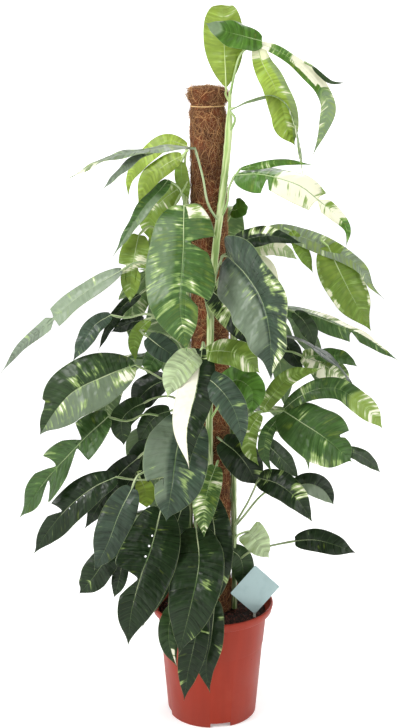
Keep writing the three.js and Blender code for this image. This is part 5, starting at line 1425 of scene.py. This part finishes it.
def pot_profile():
    """The section from the middle of the underside, out, up over the rim and down inside. The small offsets
    round each edge by a few tenths of a millimetre, as a mould does."""
    height, rim, wall, floor = POT["height"], POT["rim"], POT["wall"], POT["floor"]
    foot, base, step = POT["foot"], POT["base"], POT["step"]
    top = height - POT["band"]

    def body(z):
        return base + (POT["body_top"] - base) * z / top

    return [
        (0, 0), (foot - 0.8, 0), (foot, 0.8), (foot + 4, floor - 0.6), (foot + 4.6, floor),
        (base - 4.8, floor), (base - 4, floor - 0.8), (base - 3, 0.6), (base - 2.4, 0), (base - 0.8, 0),
        (base, 0.9), (body(step) - POT["step_depth"], step - 0.6), (body(step) - 0.9, step + 0.4),
        (body(step), step + 2.6), (body(top - 9) + 0.1, top - 8), (POT["body_top"] + 0.3, top - 3),
        (POT["body_top"] + 1.6, top - 1.2), (rim - 3.6, top - 0.4), (rim - 2.8, top + 0.5),
        (rim - 0.9, height - 7), (rim, height - 3.4), (rim - 0.5, height - 1.2), (rim - 1.7, height - 0.2),
        (rim - 3, height), (rim - 4.4, height - 0.9), (rim - 5, height - 2.6), (rim - 5.6, top + 3),
        (rim - 7.2, top + 1), (POT["body_top"] - wall + 0.8, top - 2.2), (POT["body_top"] - wall, top - 4),
        (body(step) - wall, step + 4), (body(floor) - wall, floor + wall + 1.6),
        (body(floor) - wall - 1.6, floor + wall), (foot + 3, floor + wall), (foot - 1, wall), (0, wall),
    ]


print("pot", 2 * POT["rim"], "mm over the rim,", POT["height"], "mm tall")

# %% Notches and drain holes
NOTCH = {"count": 4, "width": 40, "height": 9, "depth": 14, "out": 0.5, "first": -79.3}
DRAIN = {"count": 6, "radius": 5, "circle": 60, "depth": 20, "sides": 24}


def cutters():
    """Boxes for the foot notches and short rods for the drain holes, in one mesh."""
    made = bmesh.new()
    for i in range(NOTCH["count"]):
        box = bmesh.ops.create_cube(made, size=1)["verts"]
        bmesh.ops.scale(made, verts=box, vec=(NOTCH["depth"], NOTCH["width"], 2 * NOTCH["height"]))
        bmesh.ops.translate(made, verts=box, vec=(POT["base"] + NOTCH["out"], 0, 0))
        turn = Matrix.Rotation(math.radians(NOTCH["first"] + 360 * i / NOTCH["count"]), 3, "Z")
        bmesh.ops.rotate(made, verts=box, cent=(0, 0, 0), matrix=turn)
    for i in range(DRAIN["count"]):
        angle = 2 * math.pi * i / DRAIN["count"]
        rod = bmesh.ops.create_cone(made, cap_ends=True, segments=DRAIN["sides"], radius1=DRAIN["radius"],
                                    radius2=DRAIN["radius"], depth=DRAIN["depth"])["verts"]
        place = (DRAIN["circle"] * math.cos(angle), DRAIN["circle"] * math.sin(angle), POT["floor"])
        bmesh.ops.translate(made, verts=rod, vec=place)
    bmesh.ops.scale(made, verts=made.verts, vec=(MM, MM, MM))
    mesh = bpy.data.meshes.new("cutters")
    made.to_mesh(mesh)
    made.free()
    return mesh


print(NOTCH["count"], "notches and", DRAIN["count"], "drain holes")

# %% Pot material
# Flow marks about 14 mm wide, drawn out up the wall, a grain of 0.7 mm, dust in patches of about 70 mm
PLASTIC = {"flow_per_metre": 70.0, "drawn_out": (1, 1, 0.06), "grain_per_metre": 1400.0,
           "dust_per_metre": 14.0}


def pot_material():
    """Polypropylene from a satin mould, coloured through: a broad soft shine, duller where dust lies."""
    material, add = new_material("terracotta coloured moulded polypropylene")
    place = add("ShaderNodeTexCoord").outputs["Object"]
    drawn_out = add("ShaderNodeVectorMath", [place, PLASTIC["drawn_out"]], operation="MULTIPLY")
    flow = add("ShaderNodeTexNoise", {"Vector": drawn_out, "Scale": PLASTIC["flow_per_metre"], "Detail": 3.0})
    grain = add("ShaderNodeTexNoise", {"Vector": place, "Scale": PLASTIC["grain_per_metre"]})
    dust = add("ShaderNodeTexNoise", {"Vector": place, "Scale": PLASTIC["dust_per_metre"], "Detail": 5.0})
    dusty = add("ShaderNodeMapRange", [dust, 0.55, 0.8, 0.0, 0.06], **SOFT_STEP)
    height = add("ShaderNodeMath", [grain, 0.2, flow], operation="MULTIPLY_ADD")
    gloss = add("ShaderNodeMapRange", [dust, 0.3, 0.8, 0.36, 0.52], **SOFT_STEP)
    surface(add, painted(add, linear("#7E2717"), [(flow, "#8F2F1D"), (dusty, "#BE7460")]),
            {"Height": height, "Strength": 0.25, "Distance": 0.5 * MM},
            {"Roughness": gloss, "Specular IOR Level": 0.16})
    return material


print("flow marks of about", round(1000 / PLASTIC["flow_per_metre"]), "mm")

# %% Make the pot
SHARP_ANGLE = 50

pot_blank = link_object("pot_blank", turned("pot_blank", pot_profile(), POT["sides"]))
cutter = link_object("pot_cutters", cutters())
cut = pot_blank.modifiers.new("Cut", "BOOLEAN")
cut.operation = "DIFFERENCE"
cut.object = cutter
pot_blank.data.materials.append(pot_material())
pot = settle("moulded_pot", pot_blank)
bpy.data.objects.remove(cutter)
pot.data.set_sharp_from_angle(angle=math.radians(SHARP_ANGLE))
finish_piece(pot, "nursery_pot")

# %% [markdown]
# ## Compost
# Potting compost for such a plant is peat with bark and coir. It is almost black when damp, with
# brown-red bits. The ball of compost is a turned shape with an uneven top. Crumbs and chips are scattered
# on the top by Geometry Nodes. A bump alone would leave the mound's edge smooth, so crumbs are real too.

# %% Compost
SOIL = {"top": 212, "mound": 4, "rings": 9, "ring": 3.4, "gap": 1.4, "under": 0.3, "sides": 96,
        "bits_per_metre": 420.0, "patches_per_metre": 120.0}
# Height in millimetres and frequency per millimetre of the unevenness
SWELLS = [(2.6, 0.09), (1.2, 0.3)]


def compost_material():
    """Damp peat, sieved and pressed down: almost black and dull, with brown bits of a few millimetres."""
    material, add = new_material("damp peat compost")
    place = add("ShaderNodeTexCoord").outputs["Object"]
    bits = add("ShaderNodeTexNoise", {"Vector": place, "Scale": SOIL["bits_per_metre"], "Detail": 5.0})
    patches = add("ShaderNodeTexNoise", {"Vector": place, "Scale": SOIL["patches_per_metre"], "Detail": 1.0})
    share = add("ShaderNodeMath", [bits, patches], operation="MULTIPLY")
    brown = add("ShaderNodeMapRange", [share, 0.2, 0.42], **SOFT_STEP)
    surface(add, painted(add, linear("#120C09"), [(brown, "#3A1F17")]),
            {"Height": bits, "Strength": 0.9, "Distance": 1.2 * MM},
            {"Roughness": 0.85, "Specular IOR Level": 0.12})
    return material


def uneven(point):
    """Raises and sinks the top of the compost by a few millimetres."""
    if point.z < SOIL["top"] - 1:
        return point
    return point + Vector((0, 0, sum(height * noise.noise(point * often) for height, often in SWELLS)))


def compost_profile():
    """From the middle of the pot's floor out, up along its wall and over the mound."""
    body_top = POT["height"] - POT["band"]

    def inside(z):
        return POT["base"] + (POT["body_top"] - POT["base"]) * z / body_top - POT["wall"] - SOIL["gap"]

    foot_top = POT["wall"] + SOIL["under"]
    floor = POT["floor"] + foot_top
    rim = inside(SOIL["top"])
    top = [(rim - i * SOIL["ring"], SOIL["top"] + SOIL["mound"] * min(1, i / SOIL["rings"]))
           for i in range(int(rim / SOIL["ring"]))]
    return [(0, foot_top), (POT["foot"] - 2, foot_top), (POT["foot"] + 2, floor), (inside(floor) - 1, floor),
            *top, (0, SOIL["top"] + SOIL["mound"])]


compost = link_object("compost_ball", turned("compost_ball", compost_profile(), SOIL["sides"], uneven))
compost.data.materials.append(compost_material())
finish_piece(compost, "potting_compost")

# %% Crumbs
CRUMBS = {"Per square metre": 42000.0, "Size": 0.0021, "Seed": 5}
# Crumbs lie where the compost faces up and is above this height in metres, in shapes between these
CRUMB = {"facing": 0.6, "above": 0.2, "smallest": (0.3, 0.3, 0.2), "largest": (1.9, 1.0, 0.7),
         "turn": (6.28, 6.28, 6.28), "turn_seed": 2, "shape_seed": 4, "shade_seed": 8}


def crumb_tree(material):
    tree, add, sizes = new_tree("Crumbs", CRUMBS)
    up = add("ShaderNodeSeparateXYZ", [add("GeometryNodeInputNormal")]).outputs["Z"]
    flat = add("FunctionNodeCompare", [up, CRUMB["facing"]], operation="GREATER_THAN")
    height = add("ShaderNodeSeparateXYZ", [add("GeometryNodeInputPosition")]).outputs["Z"]
    high = add("FunctionNodeCompare", [height, CRUMB["above"]], operation="GREATER_THAN")
    there = add("FunctionNodeBooleanMath", [flat, high])
    cloud = add("GeometryNodeDistributePointsOnFaces", {"Mesh": sizes["Geometry"], "Selection": there,
                                                        "Density": sizes["Per square metre"],
                                                        "Seed": sizes["Seed"]})
    stone = add("GeometryNodeMeshIcoSphere", {"Radius": sizes["Size"], "Subdivisions": 1})
    tumble = add("FunctionNodeRandomValue", {"Max": CRUMB["turn"], "Seed": CRUMB["turn_seed"]},
                 data_type="FLOAT_VECTOR")
    turn = add("FunctionNodeEulerToRotation", [tumble])
    shape = add("FunctionNodeRandomValue", {"Min": CRUMB["smallest"], "Max": CRUMB["largest"],
                                            "Seed": CRUMB["shape_seed"]}, data_type="FLOAT_VECTOR")
    shaded_copies(add, cloud.outputs["Points"], stone, turn, shape, CRUMB["shade_seed"], material)
    return tree


crumb_bark = loose_material("bark and peat crumbs", "#110B08", "#5F3326")
crumbs = grow("compost_crumbs", compost.data.copy(), crumb_tree(crumb_bark))
finish_piece(crumbs, "potting_compost")

# %% [markdown]
# ## Plant tag
# A plain square card of coated board stands on a corner, on a thin plastic stick. Its edges are cut, so
# they are crisp, and the corners are eased by handling. Both are flat outlines that are given a
# thickness, and a bevel rounds their edges a little.

# %% Tag shapes
TAG = {"side": 72, "thick": 0.8, "middle": (82, -42, 271), "turn": 18, "tilt": 45, "corner": 2.2,
       "corner_steps": 5, "gap": 0.3, "easing": 0.18}
STICK = {"width": 5, "thick": 1.6, "bottom": 140, "top": 318, "point": 12, "shoulder": 1, "easing": 0.3}


def slab(outline, front, thick):
    """A flat outline across the view, with a thickness to the back."""
    made = bmesh.new()
    face = made.faces.new([made.verts.new((x, front, z)) for x, z in outline])
    pushed = bmesh.ops.extrude_face_region(made, geom=[face])
    lifted = [item for item in pushed["geom"] if isinstance(item, bmesh.types.BMVert)]
    bmesh.ops.translate(made, verts=lifted, vec=(0, thick, 0))
    bmesh.ops.recalc_face_normals(made, faces=made.faces)
    return made


def card_outline():
    """A square with eased corners, turned to stand on one of them."""
    half, corner, steps = TAG["side"] / 2 - TAG["corner"], TAG["corner"], TAG["corner_steps"]
    tilt = math.radians(TAG["tilt"])
    outline = []
    for quarter, (x, z) in enumerate([(half, half), (-half, half), (-half, -half), (half, -half)]):
        for i in range(steps + 1):
            angle = math.pi / 2 * (quarter + i / steps)
            across, up = x + corner * math.cos(angle), z + corner * math.sin(angle)
            outline.append((across * math.cos(tilt) + up * math.sin(tilt),
                            up * math.cos(tilt) - across * math.sin(tilt)))
    return outline


def stick_outline():
    """A narrow strip whose lower end is cut to a point."""
    half, low, high, shoulder = STICK["width"] / 2, STICK["bottom"], STICK["top"], STICK["shoulder"]
    strip = low + STICK["point"]
    return [(0, low), (half, strip), (half, high - shoulder), (half - shoulder, high),
            (shoulder - half, high), (-half, high - shoulder), (-half, strip)]


print("card", TAG["side"], "mm, stick", STICK["top"] - STICK["bottom"], "mm long")


# %% Make the tag
def tag_material(name, base, speck, roughness):
    """Coated board or moulded plastic: smooth, with a faint mottle from handling, in 17 mm patches."""
    material, add = new_material(name)
    place = add("ShaderNodeTexCoord").outputs["Object"]
    smudge = add("ShaderNodeTexNoise", {"Vector": place, "Scale": 60.0, "Detail": 4.0})
    worn = add("ShaderNodeMapRange", [smudge, 0.45, 0.75, 0.0, 0.5], **SOFT_STEP)
    gloss = add("ShaderNodeMapRange", [smudge, 0.3, 0.7, roughness, roughness + 0.15], **SOFT_STEP)
    surface(add, painted(add, linear(base), [(worn, speck)]), None, {"Roughness": gloss})
    return material


def tag_piece(name, made, height, easing, material):
    """Turns a slab as the tag is turned, moves it to its place and rounds its edges by a bevel."""
    turn = Matrix.Rotation(math.radians(TAG["turn"]), 3, "Z")
    bmesh.ops.rotate(made, verts=made.verts, cent=(0, 0, 0), matrix=turn)
    bmesh.ops.translate(made, verts=made.verts, vec=(TAG["middle"][0], TAG["middle"][1], height))
    bmesh.ops.scale(made, verts=made.verts, vec=(MM, MM, MM))
    mesh = bpy.data.meshes.new(name)
    made.to_mesh(mesh)
    made.free()
    carrier = link_object(name, mesh)
    bevel = carrier.modifiers.new("Ease", "BEVEL")
    bevel.width = easing * MM
    bevel.segments = 2
    piece = settle(name, carrier)
    piece.data.materials.append(material)
    return piece


card_slab = slab(card_outline(), -STICK["thick"] / 2 - TAG["thick"] - TAG["gap"], TAG["thick"])
card_board = tag_material("coated pale blue-grey board", "#98AFAF", "#8AA1A2", 0.32)
card = tag_piece("plant_tag_card", card_slab, TAG["middle"][2], TAG["easing"], card_board)
finish_piece(card, "tag_card")
stick_slab = slab(stick_outline(), -STICK["thick"] / 2, STICK["thick"])
stick_plastic = tag_material("pale moulded tag stick", "#DDE3DA", "#C9CFC2", 0.4)
stick = tag_piece("plant_tag_stick", stick_slab, 0, STICK["easing"], stick_plastic)
finish_piece(stick, "tag_stake")

# %% [markdown]
# ## Stake inside the pole
# The sawn softwood stake inside the coir can't be seen, but it is finished too: pale wood with grain
# along it.

# %% Stake material
# Grain lines about 2.4 mm wide, twenty times as long
GRAIN = {"per_metre": 420.0, "drawn_out": (1, 1, 0.05)}


def softwood_material():
    """Softwood, sawn and left rough: dull, with raised darker grain."""
    material, add = new_material("sawn softwood")
    place = add("ShaderNodeTexCoord").outputs["Object"]
    drawn_out = add("ShaderNodeVectorMath", [place, GRAIN["drawn_out"]], operation="MULTIPLY")
    grain = add("ShaderNodeTexNoise", {"Vector": drawn_out, "Scale": GRAIN["per_metre"], "Detail": 4.0})
    surface(add, painted(add, linear("#8E6B42"), [(grain, "#C9A574")]),
            {"Height": grain, "Strength": 0.4, "Distance": 0.4 * MM}, {"Roughness": 0.75})
    return material


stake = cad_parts["pole_core"]
stake.data.materials.clear()
stake.data.materials.append(softwood_material())
print("stake:", stake.data.materials[0].name)

# %% [markdown]
# ## The end
